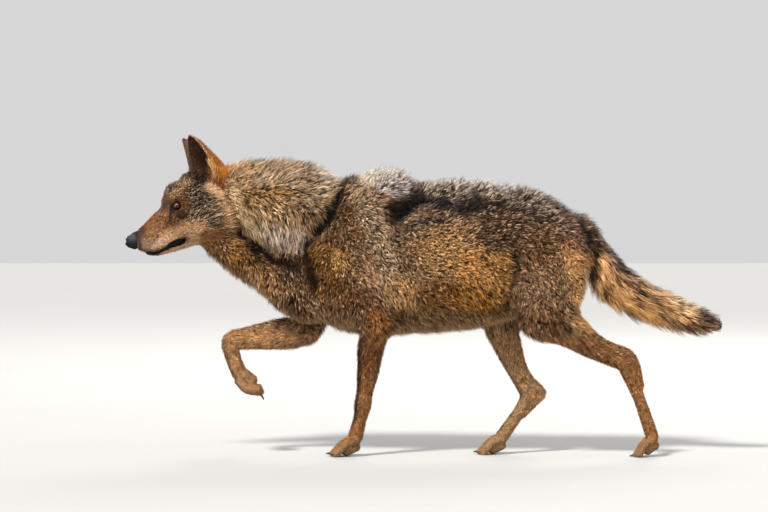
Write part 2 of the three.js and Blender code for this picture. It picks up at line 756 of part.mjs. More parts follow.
const PAW_GRIDS = {
  left_fore: { low: [-270, -85, -12], high: [-110, 35, 90], cell: [16, 9.5, 12] },
  right_fore: { low: [-500, -15, 115], high: [-370, 105, 240], cell: [14.5, 9.5, 14.5] },
  left_hind: { low: [490, -95, -12], high: [610, 15, 90], cell: [15, 9, 12] },
  right_hind: { low: [100, -20, -12], high: [250, 95, 90], cell: [16, 9.5, 12] },
};

// A claw is a blunt cone that leaves its toe a little above the floor.
function clawGeometry(root, along) {
  const upright = new THREE.Vector3(0, 1, 0);
  return new THREE.CylinderGeometry(0.9, CLAW_RADIUS, along.length(), 5)
    .translate(0, along.length() / 2, 0)
    .applyQuaternion(new THREE.Quaternion().setFromUnitVectors(upright, along.clone().normalize()))
    .translate(...root.toArray());
}

for (const [place, foot] of Object.entries(PAWS)) {
  const [side, end] = place.split("_");
  const paw = fleshPart(`${end}paw_${side}`, COAT.tawny, PAW_GRIDS[place]);
  TOES.forEach(({ tip, claw }, i) => {
    const root = new THREE.Vector3(...footPoint(foot, tip));
    const along = new THREE.Vector3(...footPoint(foot, claw)).sub(root);
    const cone = solidOf(clawGeometry(root, along));
    addMesh(`claw_${end}_${side}_${i + 1}`, outsideOf(paw, cone, along), HORN);
  });
}

wolf.position.set(-LENGTH_CENTRE, -SIDE_CENTRE, 0);
export default wolf;
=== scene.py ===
"""A grey wolf of the Iberian kind, walking with one forefoot lifted: its skin, coat, eyes, nose and claws.

Shapes are worked out in millimetres in the solids' own frame and moved by SHIFT when a mesh is
made. The skin is the solids' field drawn in by the depth of the coat. The coat is many thin
tapered tufts rooted on the skin. Markings and the lie of the hair are charted on the side view,
in units of 2.5 mm, U to the right and V downwards.
"""
import math

import bpy
import numpy as np
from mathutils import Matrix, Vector, kdtree

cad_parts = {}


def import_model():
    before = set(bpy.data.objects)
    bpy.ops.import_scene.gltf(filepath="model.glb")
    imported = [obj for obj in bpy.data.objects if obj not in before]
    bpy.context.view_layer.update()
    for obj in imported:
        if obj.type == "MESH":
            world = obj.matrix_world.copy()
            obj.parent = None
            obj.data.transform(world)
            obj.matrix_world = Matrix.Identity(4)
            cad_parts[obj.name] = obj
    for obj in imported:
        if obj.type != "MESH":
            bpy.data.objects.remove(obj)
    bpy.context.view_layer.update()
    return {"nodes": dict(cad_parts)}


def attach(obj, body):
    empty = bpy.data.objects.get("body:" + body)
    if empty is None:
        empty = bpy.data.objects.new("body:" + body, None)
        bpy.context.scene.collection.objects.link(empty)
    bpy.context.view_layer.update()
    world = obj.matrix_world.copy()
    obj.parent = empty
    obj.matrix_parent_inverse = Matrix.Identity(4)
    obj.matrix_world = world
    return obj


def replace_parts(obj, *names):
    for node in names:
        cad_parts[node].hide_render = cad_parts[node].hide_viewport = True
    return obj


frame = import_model()

MM = 0.001
SHIFT = np.array([2.0, -0.2, 0.0])
CHART_UNIT, CHART_U, CHART_V = 2.5, 424.5, 456.0
HEAD_TURN = math.radians(8.5)
HEAD_PIVOT = np.array([-520.0, 0.0, 0.0])
FAR = 9e3


def world(points):
    return (np.asarray(points) + SHIFT) * MM


def unit(v):
    return v / np.maximum(np.linalg.norm(v, axis=-1, keepdims=True), 1e-9)


def in_box(p, low, high, margin=0):
    return np.all((p > np.array(low) - margin) & (p < np.array(high) + margin), axis=1)


# ---------------------------------------------------------------- forms and their field

SPANS = 3         # rounded lengths made between one station and the next
FIELD_REACH = 60  # how far outside a form's radius its field is read


class Form:
    """A chain of rounded lengths. A station is [x, y, z, half height, half width, coat's depth]."""

    def __init__(self, stations, blend=22.0, taper=0.0, upright=False, kind="body", lie=1.0):
        s = np.array(stations, float)
        ends = np.vstack([2 * s[0] - s[1], s, 2 * s[-1] - s[-2]])
        t = np.linspace(0, len(s) - 1, (len(s) - 1) * SPANS + 1)
        i = np.minimum(t.astype(int), len(s) - 2)
        u = (t - i)[:, None]
        p0, p1, p2, p3 = ends[i], ends[i + 1], ends[i + 2], ends[i + 3]
        rows = 0.5 * (2 * p1 + (p2 - p0) * u + (2 * p0 - 5 * p1 + 4 * p2 - p3) * u**2
                      + (3 * p1 - p0 - 3 * p2 + p3) * u**3)
        self.a, self.b = rows[:-1], rows[1:]
        self.d = self.b[:, :3] - self.a[:, :3]
        self.along = unit(self.d)
        self.lateral = unit(np.array([0.0, 1.0, 0.0]) - self.along * self.along[:, 1:2])
        up = np.cross(self.lateral, self.along)
        self.up = up * np.where(up[:, 2:3] < 0, -1, 1)
        self.blend, self.taper, self.upright, self.kind, self.lie = blend, taper, upright, kind, lie
        reach = rows[:, 3:5].max(1)[:, None] + FIELD_REACH
        self.low, self.high = (rows[:, :3] - reach).min(0), (rows[:, :3] + reach).max(0)

    def near(self, p):
        return in_box(p, self.low, self.high)

    def value(self, p, details=False):
        """The skin's field at the points, negative inside, and if asked the coat's depth and lie."""
        best = np.full(len(p), 1e9)
        field, coat, span = np.zeros(len(p)), np.zeros(len(p)), np.zeros(len(p), int)
        for k, (a, b, d) in enumerate(zip(self.a, self.b, self.d)):
            q = p - a[:3]
            t = q[:, 0] / d[0] if self.upright else q @ d / (d @ d)
            t = np.clip(t, 0, 1)
            q = q - t[:, None] * d
            square = np.einsum("ij,ij->i", q, q)
            away = np.abs(q[:, 0]) if self.upright else square
            r = a[3] + t * (b[3] - a[3])
            side = a[4] + t * (b[4] - a[4])
            if self.taper:
                side = side * (1 - self.taper * np.clip(q @ self.up[k] / r, -1, 1))
            across = q @ self.lateral[k]
            rest = np.maximum(square - across**2, 0)
            depth = a[5] + t * (b[5] - a[5])
            out = np.sqrt((across / side) ** 2 + rest / r**2)
            slope = np.sqrt(across**2 / side**4 + rest / r**4) / np.maximum(out, 0.2)
            value = (out - 1 + depth * slope) * np.minimum(r, side)
            closer = away < best
            best = np.where(closer, away, best)
            field = np.where(closer, value, field)
            coat = np.where(closer, depth, coat)
            span = np.where(closer, k, span)
        return (field, coat, self.along[span] * self.lie) if details else field


def smooth_min(a, b, k):
    h = np.maximum(k - np.abs(a - b), 0) / k
    return np.minimum(a, b) - h * h * k / 4


def smooth_max(a, b, k):
    return -smooth_min(-a, -b, k)


def joined(forms, p):
    field = np.full(len(p), 1e3)
    for f in forms:
        near = f.near(p)
        if near.any():
            field[near] = smooth_min(field[near], f.value(p[near]), f.blend)
    return field


def both_sides(stations, **options):
    mirrored = [[x, -y, *rest] for x, y, *rest in stations]
    return [Form(stations, **options), Form(mirrored, **options)]


TRUNK = [
    [x, 0, (top + bottom) / 2, (top - bottom) / 2, width, 18]
    for x, top, bottom, width in [
        (-300, 606, 390, 84), (-262, 658, 340, 102), (-215, 692, 312, 116), (-185, 697, 305, 121),
        (-150, 702, 301, 124), (-92, 704, 299, 127), (-30, 690, 301, 130), (10, 690, 304, 132),
        (60, 697, 307, 133), (120, 694, 312, 131), (200, 684, 332, 122), (265, 675, 366, 112),
        (318, 648, 408, 100), (368, 614, 466, 78),
    ]
]
WITHERS = [
    [-176, 0, 668, 38, 62, 20], [-140, 0, 671, 39, 60, 22], [-92, 0, 680, 39, 56, 23],
    [-62, 0, 678, 34, 50, 21],
]
MANE = [
    [-505, 0, 650, 74, 78, 20], [-470, 0, 648, 90, 96, 24], [-415, 0, 637, 109, 110, 28],
    [-350, 0, 623, 124, 118, 28], [-285, 0, 615, 121, 120, 27], [-245, 0, 609, 105, 114, 24],
    [-215, 0, 603, 84, 104, 22],
]
THROAT = [
    [-545, 0, 572, 46, 50, 11], [-495, 0, 530, 54, 62, 16], [-440, 0, 492, 60, 72, 20],
    [-386, 0, 452, 54, 80, 19], [-334, 0, 416, 64, 88, 17], [-290, 0, 396, 70, 92, 15],
]
LEFT_SHOULDER = [
    [-104, -58, 664, 40, 32, 17], [-150, -80, 590, 66, 42, 16], [-205, -86, 490, 68, 45, 15],
    [-172, -82, 410, 62, 42, 13], [-118, -72, 350, 46, 36, 10],
]
RIGHT_SHOULDER = [
    [-110, 58, 664, 40, 32, 17], [-165, 80, 590, 64, 42, 16], [-232, 86, 490, 66, 45, 15],
    [-256, 82, 410, 56, 42, 13], [-284, 74, 335, 44, 36, 10],
]
LEFT_FORELEG = [
    [-120, -68, 335, 42, 35, 9], [-132, -60, 285, 37, 31, 7], [-141, -48, 215, 30, 26, 5],
    [-150, -38, 160, 23, 21, 4], [-154, -34, 130, 24, 23, 4], [-161, -30, 95, 19, 20, 3.5],
    [-172, -27, 52, 21, 24, 3],
]
RIGHT_FORELEG = [
    [-298, 72, 305, 38, 34, 9], [-340, 66, 303, 44, 33, 7.5], [-400, 58, 296, 37, 28, 6],
    [-448, 52, 290, 31, 24, 5], [-483, 49, 281, 28, 25, 4.5], [-480, 47, 243, 22, 22, 4],
    [-465, 45, 205, 22, 24, 3.5],
]
LEFT_THIGH = [
    [344, -50, 545, 52, 44, 18], [330, -62, 490, 82, 52, 16], [316, -70, 420, 88, 52, 14],
    [300, -76, 362, 64, 44, 11],
]
LEFT_SHANK = [
    [288, -78, 350, 57, 41, 10], [348, -76, 330, 54, 39, 9], [408, -70, 279, 31, 27, 6],
    [468, -64, 250, 26, 22, 5], [499, -60, 238, 28, 21, 4.5], [513, -56, 205, 23, 19, 4],
    [536, -50, 145, 17, 17, 3.5], [557, -44, 85, 18, 20, 3], [568, -41, 52, 18, 24, 3],
]
LEFT_TENDON = [
    [388, -72, 330, 17, 16, 6], [446, -66, 288, 12, 12, 4], [508, -60, 260, 13, 12, 4],
    [530, -56, 225, 11, 11, 3.5], [540, -50, 180, 9, 10, 3],
]
RIGHT_THIGH = [
    [345, 50, 545, 52, 44, 18], [314, 62, 490, 82, 52, 16], [262, 70, 420, 84, 50, 14],
    [206, 76, 362, 62, 44, 11],
]
RIGHT_SHANK = [
    [190, 76, 342, 54, 40, 10], [199, 72, 295, 41, 34, 8], [220, 64, 235, 30, 26, 6],
    [246, 57, 182, 25, 22, 5], [262, 54, 148, 25, 21, 4.5], [243, 48, 112, 18, 18, 3.5],
    [216, 42, 74, 18, 20, 3], [196, 38, 46, 19, 24, 3],
]
RIGHT_TENDON = [
    [226, 70, 290, 15, 16, 5], [254, 60, 205, 10, 12, 3.5], [294, 55, 156, 15, 12, 4],
    [279, 53, 131, 12, 12, 4], [250, 49, 100, 9, 10, 3],
]
TAIL = [
    [392, 0, 548, 38, 38, 14], [434, 0, 496, 43, 40, 13], [470, 0, 440, 56, 45, 18],
    [514, 0, 406, 57, 46, 23], [562, 0, 381, 53, 44, 25], [610, 0, 362, 48, 41, 23],
    [655, 0, 345, 42, 36, 20], [700, 0, 334, 31, 27, 15], [722, 0, 330, 22, 19, 11],
]

PAWS = {
    "left_fore": dict(ankle=(-172, -26, 43), ahead=(-0.955, -0.297), down=(-0.2, -0.98), size=1.02),
    "right_fore": dict(ankle=(-464, 44, 184), ahead=(0.66, -0.75), down=(0.75, 0.66), size=1.04),
    "left_hind": dict(ankle=(570, -40, 46), ahead=(-0.88, -0.47), down=(0.1, -0.99), size=0.92),
    "right_hind": dict(ankle=(194, 37, 41), ahead=(-0.955, -0.297), down=(-0.2, -0.98), size=0.98),
}


def foot_station(foot, place, r, side=None, coat=2.2):
    forward, sideways, below = place
    (ax, ay, az), (fx, fz), (dx, dz), size = foot["ankle"], foot["ahead"], foot["down"], foot["size"]
    return [ax + size * (forward * fx + below * dx), ay + size * sideways,
            az + size * (forward * fz + below * dz), r * size, (side or r) * size, coat]


def paw_forms(foot):
    """Four toes with a knuckle each, the heel pad, and the furred web between them."""
    forms = []
    for place in (-1.5, -0.5, 0.5, 1.5):
        far = abs(place)
        forms.append(Form([
            foot_station(foot, (0, place * 11, 2), 14),
            foot_station(foot, (30 - 4 * far, place * 17, 2), 13),
            foot_station(foot, (56 - 8 * far, place * 18, 18 + 2.2 * far), 11),
        ], blend=3.5, kind="paw"))
    heel = ((-2, 0, 20), 15, 24), ((18, 0, 26), 13, 21)
    web = ((14, 0, 16), 13, 24), ((34, 0, 18), 11, 24)
    for ends in (heel, web):
        forms.append(Form([foot_station(foot, *end) for end in ends], blend=5, kind="paw"))
    return forms


BODY_FORMS = [
    Form(TRUNK, taper=0.16, blend=26, upright=True),
    Form(WITHERS, blend=10, kind="mane"),
    Form(MANE, blend=26, upright=True, kind="mane"),
    Form(THROAT, blend=26, kind="mane"),
    *[Form(stations, blend=26) for stations in (LEFT_SHOULDER, RIGHT_SHOULDER)],
    *[Form(stations, blend=30) for stations in (LEFT_THIGH, RIGHT_THIGH)],
    *[Form(stations, kind="leg") for stations in (LEFT_FORELEG, RIGHT_FORELEG, LEFT_SHANK, RIGHT_SHANK)],
    *[Form(stations, blend=12, kind="leg") for stations in (LEFT_TENDON, RIGHT_TENDON)],
    Form(TAIL, blend=24, kind="tail"),
    *[f for foot in PAWS.values() for f in paw_forms(foot)],
]
HEAD_FORMS = [
    Form([[-600, 0, 637, 58, 54, 5], [-576, 0, 643, 75, 70, 8], [-520, 0, 652, 70, 78, 15],
          [-490, 0, 652, 66, 78, 19]], blend=16, kind="head"),
    Form([[-622, 0, 592, 50, 44, 4], [-652, 0, 573, 44, 37, 3.2], [-682, 0, 554, 36, 31, 2.6],
          [-707, 0, 543, 28, 28, 2.0], [-722, 0, 541, 24, 24, 1.5]], blend=18, kind="face", lie=-1),
    *both_sides([[-622, 36, 578, 28, 22, 7], [-586, 50, 582, 40, 32, 11], [-540, 58, 592, 50, 36, 17],
                 [-505, 56, 604, 48, 36, 20]], blend=26, kind="head"),
    *both_sides([[-646, 20, 636, 9, 8, 2], [-632, 33, 648, 10, 11, 2.5], [-604, 46, 655, 12, 10, 4]],
                blend=14, kind="face"),
    *both_sides([[-700, 15, 523, 12, 10, 1.5], [-672, 22, 530, 14, 11, 2], [-640, 31, 545, 16, 12, 3],
                 [-606, 40, 562, 18, 12, 6]], blend=14, kind="face"),
    Form([[-566, 0, 553, 26, 44, 9], [-606, 0, 535, 19, 35, 5], [-645, 0, 520, 14.5, 26, 3.2],
          [-676, 0, 512, 12.5, 20, 2.4], [-690, 0, 511, 9.5, 15, 2]], blend=10, kind="face", lie=-1),
]
ALL_FORMS = [(f, False) for f in BODY_FORMS] + [(f, True) for f in HEAD_FORMS]
KINDS = ["body", "mane", "tail", "head", "face", "leg", "paw"]
BODY, MANED, HEAD, FACE = (KINDS.index(kind) for kind in ("body", "mane", "head", "face"))

TURN = np.array([
    [math.cos(HEAD_TURN), -math.sin(HEAD_TURN), 0],
    [math.sin(HEAD_TURN), math.cos(HEAD_TURN), 0],
    [0, 0, 1],
])


def in_head(p):
    return (p - HEAD_PIVOT) @ TURN + HEAD_PIVOT


def out_of_head(p):
    return (p - HEAD_PIVOT) @ TURN.T + HEAD_PIVOT


def path_distance(path, x, y):
    """Distance in a plane to a bent line."""
    best = np.full(len(x), 1e9)
    for (x0, y0), (x1, y1) in zip(path, path[1:]):
        dx, dy = x1 - x0, y1 - y0
        t = np.clip(((x - x0) * dx + (y - y0) * dy) / (dx * dx + dy * dy), 0, 1)
        best = np.minimum(best, np.hypot(x - x0 - t * dx, y - y0 - t * dy))
    return best


def outline_distance(outline, x, z):
    """Signed distance in the side view to a closed outline, negative inside."""
    path = [*outline, outline[0]]
    best = path_distance(path, x, z)
    inside = np.zeros(len(x), bool)
    for (x0, z0), (x1, z1) in zip(path, path[1:]):
        crossing = (z0 > z) != (z1 > z)
        inside ^= crossing & (x < (x1 - x0) * (z - z0) / (z1 - z0 or 1.0) + x0)
    return np.where(inside, -best, best)


MOUTH = [
    (-706, 511.5), (-688, 511.5), (-673, 514), (-660, 521), (-647, 531), (-629, 541), (-612, 546.5),
    (-604, 543), (-608, 536), (-626, 526), (-644, 518.5), (-667, 510.5), (-688, 508.5), (-706, 508.5),
]
LIPS = [
    (-710, 512), (-692, 513), (-678, 513), (-664, 517), (-655, 524), (-645, 534), (-630, 543), (-612, 550),
    (-603, 549), (-598, 543), (-603, 534), (-616, 528), (-633, 523), (-646, 518), (-660, 512), (-670, 505),
    (-680, 500), (-696, 498), (-710, 502),
]
NOSE_BACK = -719.0
SOCKET, SOCKET_RADIUS = (-636, 53, 629), 17


def head_field(p):
    q = in_head(p)
    field = joined(HEAD_FORMS, q)
    x, y, z = q[:, 0], np.abs(q[:, 1]), q[:, 2]
    socket = np.sqrt((x - SOCKET[0]) ** 2 + (y - SOCKET[1]) ** 2 + (z - SOCKET[2]) ** 2) - SOCKET_RADIUS
    field = smooth_max(field, -socket, 12)
    near = field < 40
    slit = outline_distance(MOUTH, x[near], z[near])
    depth = np.interp(x[near], [-706, -690, -660, -600], [16, 13, 13, 22])
    field[near] = smooth_max(field[near], -np.maximum(slit, depth - y[near]), 3)
    return smooth_max(field, NOSE_BACK - x, 6)


def skin_field(p):
    field = joined(BODY_FORMS, p)
    near = p[:, 0] < -380
    if near.any():
        field[near] = smooth_min(field[near], head_field(p[near]), 22)
    return field


# ---------------------------------------------------------------- from field to mesh

def sample(field, low, high, cell, ratio=4):
    """The field on a fine grid, worked out only where a coarse grid shows the surface is near."""
    low = np.array(low, float)
    n = np.ceil((np.array(high) - low) / (cell * ratio)).astype(int)
    corners = np.stack(np.meshgrid(*[np.arange(k + 1) for k in n], indexing="ij"), -1)
    coarse = field(low + corners.reshape(-1, 3) * cell * ratio).reshape(n + 1)
    least = np.full(n, 1e9)
    for i, j, k in np.ndindex(2, 2, 2):
        least = np.minimum(least, np.abs(coarse)[i:n[0] + i, j:n[1] + j, k:n[2] + k])
    near = least < cell * ratio * 2.0
    values = coarse[:-1, :-1, :-1]
    for axis in range(3):
        near = np.repeat(near, ratio, axis)
        values = np.repeat(values, ratio, axis)
    values[near] = field(low + np.argwhere(near) * cell)
    for axis in range(3):
        ends = [slice(None)] * 3
        ends[axis] = [0, -1]
        values[tuple(ends)] = np.maximum(values[tuple(ends)], cell * 0.3)
    return values, low


def surface_net(values, low, cell):
    """One vertex in each cell the surface passes through and one quad round each edge it crosses."""
    inside = values < 0
    shape = np.array(values.shape)
    total = np.zeros(shape - 1, np.int8)
    for i, j, k in np.ndindex(2, 2, 2):
        total += inside[i:shape[0] - 1 + i, j:shape[1] - 1 + j, k:shape[2] - 1 + k]
    active = (total > 0) & (total < 8)
    cells = np.argwhere(active)
    number = np.full(active.shape, -1)
    number[active] = np.arange(len(cells))
    summed, crossings = np.zeros((len(cells), 3)), np.zeros(len(cells))
    for a in np.ndindex(2, 2, 2):
        for axis in range(3):
            if a[axis]:
                continue
            b = np.array(a)
            b[axis] = 1
            va = values[tuple((cells + a).T)]
            vb = values[tuple((cells + b).T)]
            crossed = (va < 0) != (vb < 0)
            t = np.where(crossed, va / np.where(va == vb, 1, va - vb), 0)
            summed += np.where(crossed[:, None], np.array(a) + t[:, None] * (b - np.array(a)), 0)
            crossings += crossed
    verts = low + (cells + summed / crossings[:, None]) * cell
    quads = []
    for axis in range(3):
        u, v = (axis + 1) % 3, (axis + 2) % 3
        first, second = [slice(None)] * 3, [slice(None)] * 3
        first[axis], second[axis] = slice(None, -1), slice(1, None)
        at = np.argwhere(inside[tuple(first)] != inside[tuple(second)])
        at = at[np.all((at[:, [u, v]] > 0) & (at[:, [u, v]] < np.array(active.shape)[[u, v]]), axis=1)]
        eu, ev = np.eye(3, dtype=int)[u], np.eye(3, dtype=int)[v]
        ring = np.stack([number[tuple((at - s).T)] for s in (0 * eu, eu, eu + ev, ev)], 1)
        outward = inside[tuple(at.T)]
        ring[~outward] = ring[~outward][:, ::-1]
        quads.append(ring)
    return verts, np.concatenate(quads)


def face_normals(verts, faces):
    a, b, c, d = (verts[faces[:, i]] for i in range(4))
    return np.cross(c - a, d - b)


def vertex_normals(verts, faces):
    normals = np.zeros_like(verts)
    flat = face_normals(verts, faces)
    for i in range(faces.shape[1]):
        np.add.at(normals, faces[:, i], flat)
    return unit(normals)


def skin_block(low, high, cell, field):
    values, corner = sample(field, low, high, cell)
    verts, faces = surface_net(values, corner, cell)
    normals = vertex_normals(verts, faces)
    step = np.clip(field(verts), -cell * 0.5, cell * 0.5)
    return verts - normals * step[:, None], faces


def beyond(point, normal):
    """A field that is negative on the side of a plane that its normal points away from."""
    normal = np.array(normal, float) / np.linalg.norm(normal)
    return lambda p: (p - np.array(point, float)) @ normal


def ring_faces(rings, around):
    """Quads between rings of vertices, each ring closed on itself."""
    i, j = np.meshgrid(np.arange(rings - 1), np.arange(around), indexing="ij")
    k = (j + 1) % around
    corners = [i * around + j, i * around + k, (i + 1) * around + k, (i + 1) * around + j]
    return np.stack(corners, -1).reshape(-1, 4)


def merged(parts):
    verts, faces, start = [], [], 0
    for v, f in parts:
        verts.append(v)
        faces.append(f + start)
        start += len(v)
    return np.concatenate(verts), np.concatenate(faces)


# Planes where finely made head and feet meet the body, as a point and the way out of the part, and
# for each foot the corners of the box that it is made in.
HEAD_SPLIT = ((-500, 0, 620), (1, 0, -0.25))
FOOT_SPLITS = {
    "left_fore": ((-168, -28, 66), (0, 0, 1), (-262, -80, -12), (-120, 30, 84)),
    "right_fore": ((-466, 45, 208), (-0.3, 0, 0.95), (-512, -10, 110), (-380, 100, 240)),
    "left_hind": ((562, -42, 66), (0, 0, 1), (492, -92, -12), (612, 12, 84)),
    "right_hind": ((208, 40, 62), (0, 0, 1), (104, -16, -12), (252, 90, 84)),
}
OVERLAP, FOOT_MARGIN = 3, 20
SOLE = 0.4  # how far the skin of the feet stays above the floor


def rest_field(p):
    """The body without its finely made head and feet, which overlap it by a few millimetres."""
    field = skin_field(p)
    cut = -beyond(*HEAD_SPLIT)(p)
    field = np.where(p[:, 0] < -400, np.maximum(field, cut - OVERLAP), field)
    for point, normal, low, high in FOOT_SPLITS.values():
        near = in_box(p, low, high, FOOT_MARGIN)
        field[near] = np.maximum(field[near], -beyond(point, normal)(p[near]) - OVERLAP)
    return field


def part_field(point, normal):
    """The body beyond a plane and above the floor."""
    clip = beyond(point, normal)

    def field(p):
        return np.maximum(np.maximum(skin_field(p), clip(p)), -p[:, 2] + SOLE)
    return field


# ---------------------------------------------------------------- ears

EAR_BASE, EAR_HEIGHT = 686, 110.0
EAR_ROWS, EAR_STEPS = 46, 34
# height above the base as a share, the middle of the rims in x and y, half width and depth of the cup
EAR_RINGS = np.array([
    [0.00, -553, 46, 42, 70], [0.17, -560, 49, 44, 78], [0.34, -565, 53, 44, 74],
    [0.53, -570, 58, 42, 56], [0.66, -575, 62, 36, 41], [0.80, -582, 66, 28, 29],
    [0.91, -588, 69, 20, 22], [0.97, -592, 71, 13, 14], [1.00, -594, 72, 7, 7],
])
EAR_FACING = unit(np.array([-0.86, 0.5, 0.08]))


def ear_sheet(side, inset):
    """One face of a cupped leaf, rising from the head, as a grid of points in the body's frame."""
    t = np.linspace(0, 1, EAR_ROWS) ** 0.9
    x, y, w, d = (np.interp(t, EAR_RINGS[:, 0], EAR_RINGS[:, i]) for i in range(1, 5))
    for curve in (x, y, w, d):
        curve[1:-1] = (curve[:-2] + 2 * curve[1:-1] + curve[2:]) / 4
    angle = np.linspace(-0.5, 0.5, EAR_STEPS)[None, :] * math.pi
    across = unit(np.cross(EAR_FACING, [0.0, 0.0, 1.0]))
    roll = 1 - 0.1 * np.exp(-((np.abs(angle) - 1.3) / 0.2) ** 2) * (1 - t[:, None])
    w = np.maximum(w[:, None] * roll - inset, 0.6)
    d = np.maximum(d[:, None] - inset, 0.5)
    p = np.empty((EAR_ROWS, EAR_STEPS, 3))
    p[..., 0], p[..., 1] = x[:, None], y[:, None]
    p[..., 2] = (EAR_BASE + (EAR_HEIGHT - 6 * side) * t)[:, None]
    p += across * (np.sin(angle) * w)[..., None] - EAR_FACING * (np.cos(angle) * d - 0.6 * inset)[..., None]
    p[..., 1] *= side
    return out_of_head(p.reshape(-1, 3)).reshape(p.shape)


def ear_mesh(side):
    """The outer and inner sheets joined round the rim, the tip and the base."""
    outer, inner = ear_sheet(side, 0.0), ear_sheet(side, 2.6)
    around = 2 * EAR_STEPS
    verts = np.concatenate([outer, inner[:, ::-1]], 1).reshape(-1, 3)
    a = np.arange(EAR_STEPS - 1)
    cap = np.stack([a, a + 1, around - 2 - a, around - 1 - a], 1)
    faces = np.concatenate([ring_faces(EAR_ROWS, around), cap[:, ::-1], cap + (EAR_ROWS - 1) * around])
    return verts, faces if side > 0 else faces[:, ::-1]


def ear_places(verts):
    """The ring and the place in it of an ear's vertices, and which of them are inside the cup."""
    ring, turn = np.divmod(np.arange(len(verts)), 2 * EAR_STEPS)
    return ring, turn, turn >= EAR_STEPS


# ---------------------------------------------------------------- eyes and lids

EYE = np.array([-622.0, 37.0, 629.0])
EYE_RADIUS = 12.0
CLEAR_ANGLE, CLEAR_BULGE = 0.52, 1.3  # the clear front: its reach from the line of sight, its height
PUPIL, IRIS_RIM, WHITE = 0.4, 0.92, 1.25  # where each begins or ends, as shares of the iris
GAZE = unit(np.array([-0.30, 0.95, -0.02]))
OPENING = unit(np.array([-0.67, 0.74, 0.0]))
OPENING_SLANT = math.radians(20)
OPENING_LENGTH, OPENING_HEIGHT = 12.5, 6.0
# rows of the lids, from inside the opening to where they pass under the skin, and the first rows' heights
LID_ROWS = np.array([-0.9, -0.5, 0.0, 0.7, 1.5, 2.4, 3.6, 5.0, 6.6, 8.4, 10.4, 12.6, 15.0])
LID_STEPS = 84
RIM_HEIGHTS = np.array([0.15, 0.9, 1.5, 1.75, 1.6])


def eye_frame(direction, slant=0.0):
    """Axes across an eye that looks along direction: forwards and down by the slant, and up."""
    ahead = unit(np.cross(direction, [0.0, 0.0, 1.0]))
    ahead = ahead * (-1 if ahead[0] > 0 else 1)
    up = np.cross(direction, ahead)
    up = up * (-1 if up[2] < 0 else 1)
    c, s = math.cos(slant), math.sin(slant)
    return ahead * c - up * s, up * c + ahead * s


def placed(points, side):
    """Points made for the eye or nostril of positive y, put on either side of the turned head."""
    return out_of_head(points * np.array([1, side, 1]))


def eyeball(side):
    """Rings round the line of sight, the clear front standing a little proud, and their colours."""
    ahead, up = eye_frame(GAZE)
    angle = np.concatenate([np.linspace(0, CLEAR_ANGLE, 34), np.linspace(0.56, 2.2, 30)])
    turn = np.linspace(0, 2 * math.pi, 72, endpoint=False)
    radius = EYE_RADIUS + CLEAR_BULGE * np.clip(1 - (angle / CLEAR_ANGLE) ** 2, 0, 1)
    spoke = (ahead * np.cos(turn)[:, None] + up * np.sin(turn)[:, None])[None]
    ring = GAZE * np.cos(angle)[:, None, None] + spoke * np.sin(angle)[:, None, None]
    verts = (EYE + ring * radius[:, None, None]).reshape(-1, 3)
    faces = ring_faces(len(angle), len(turn))
    r = (angle / 0.5)[:, None] * np.ones(len(turn))
    streak = 0.75 + 0.5 * np.abs(np.sin(turn * 17 + 3 * np.sin(turn * 5)))[None] * (r < 1)
    colour = rgb(138, 84, 50) * (streak * (1 - 0.35 * r))[..., None]
    for band, tone in (r < PUPIL, (8, 7, 7)), (r > IRIS_RIM, (10, 8, 8)), (r > WHITE, (12, 9, 9)):
        colour = np.where(band[..., None], rgb(*tone), colour)
    return placed(verts, side), faces[:, ::-1] if side > 0 else faces, colour.reshape(-1, 3)


def lid_patch(side):
    """The dark rounded rims of the opening and the lids round them, and how black they are."""
    ahead, up = eye_frame(OPENING, OPENING_SLANT)
    turn = np.linspace(0, 2 * math.pi, LID_STEPS, endpoint=False)
    u, v = np.cos(turn), np.sin(turn)
    height = np.where(v > 0, OPENING_HEIGHT, OPENING_HEIGHT * 0.8)
    almond = np.stack([u * OPENING_LENGTH, np.sign(v) * height * np.abs(v) ** 1.25], 1)
    out = unit(np.stack([u * 0.75, v], 1))
    plane = almond[None] + out[None] * LID_ROWS[:, None, None]
    direction = unit(OPENING * EYE_RADIUS + plane[..., :1] * ahead + plane[..., 1:] * up)
    reach = skin_reach(direction.reshape(-1, 3), side).reshape(direction.shape[:2])
    rim = EYE_RADIUS + RIM_HEIGHTS[:, None] + 0.5 * np.maximum(v, 0)[None]
    share = eased((LID_ROWS - 1.5) / 9)[:, None]
    radius = rim[np.minimum(np.arange(len(LID_ROWS)), len(rim) - 1)]
    radius = radius * (1 - share) + (reach - 0.8 * share) * share
    verts = (EYE + direction * radius[..., None]).reshape(-1, 3)
    faces = ring_faces(len(LID_ROWS), LID_STEPS)
    black = np.clip((4.0 + 7.5 * np.clip(u, 0, 1)[None] ** 1.5 - LID_ROWS[:, None]) / 1.6, 0, 1)
    return placed(verts, side), faces[:, ::-1] if side > 0 else faces, black.reshape(-1)


def skin_reach(directions, side):
    """How far from the middle of the eye the skin lies, in each direction."""
    near, far = np.full(len(directions), 8.0), np.full(len(directions), 40.0)
    for _ in range(12):
        middle = (near + far) / 2
        inside = skin_field(placed(EYE + directions * middle[:, None], side)) < 0
        near, far = np.where(inside, middle, near), np.where(inside, far, middle)
    return near


# ---------------------------------------------------------------- nose

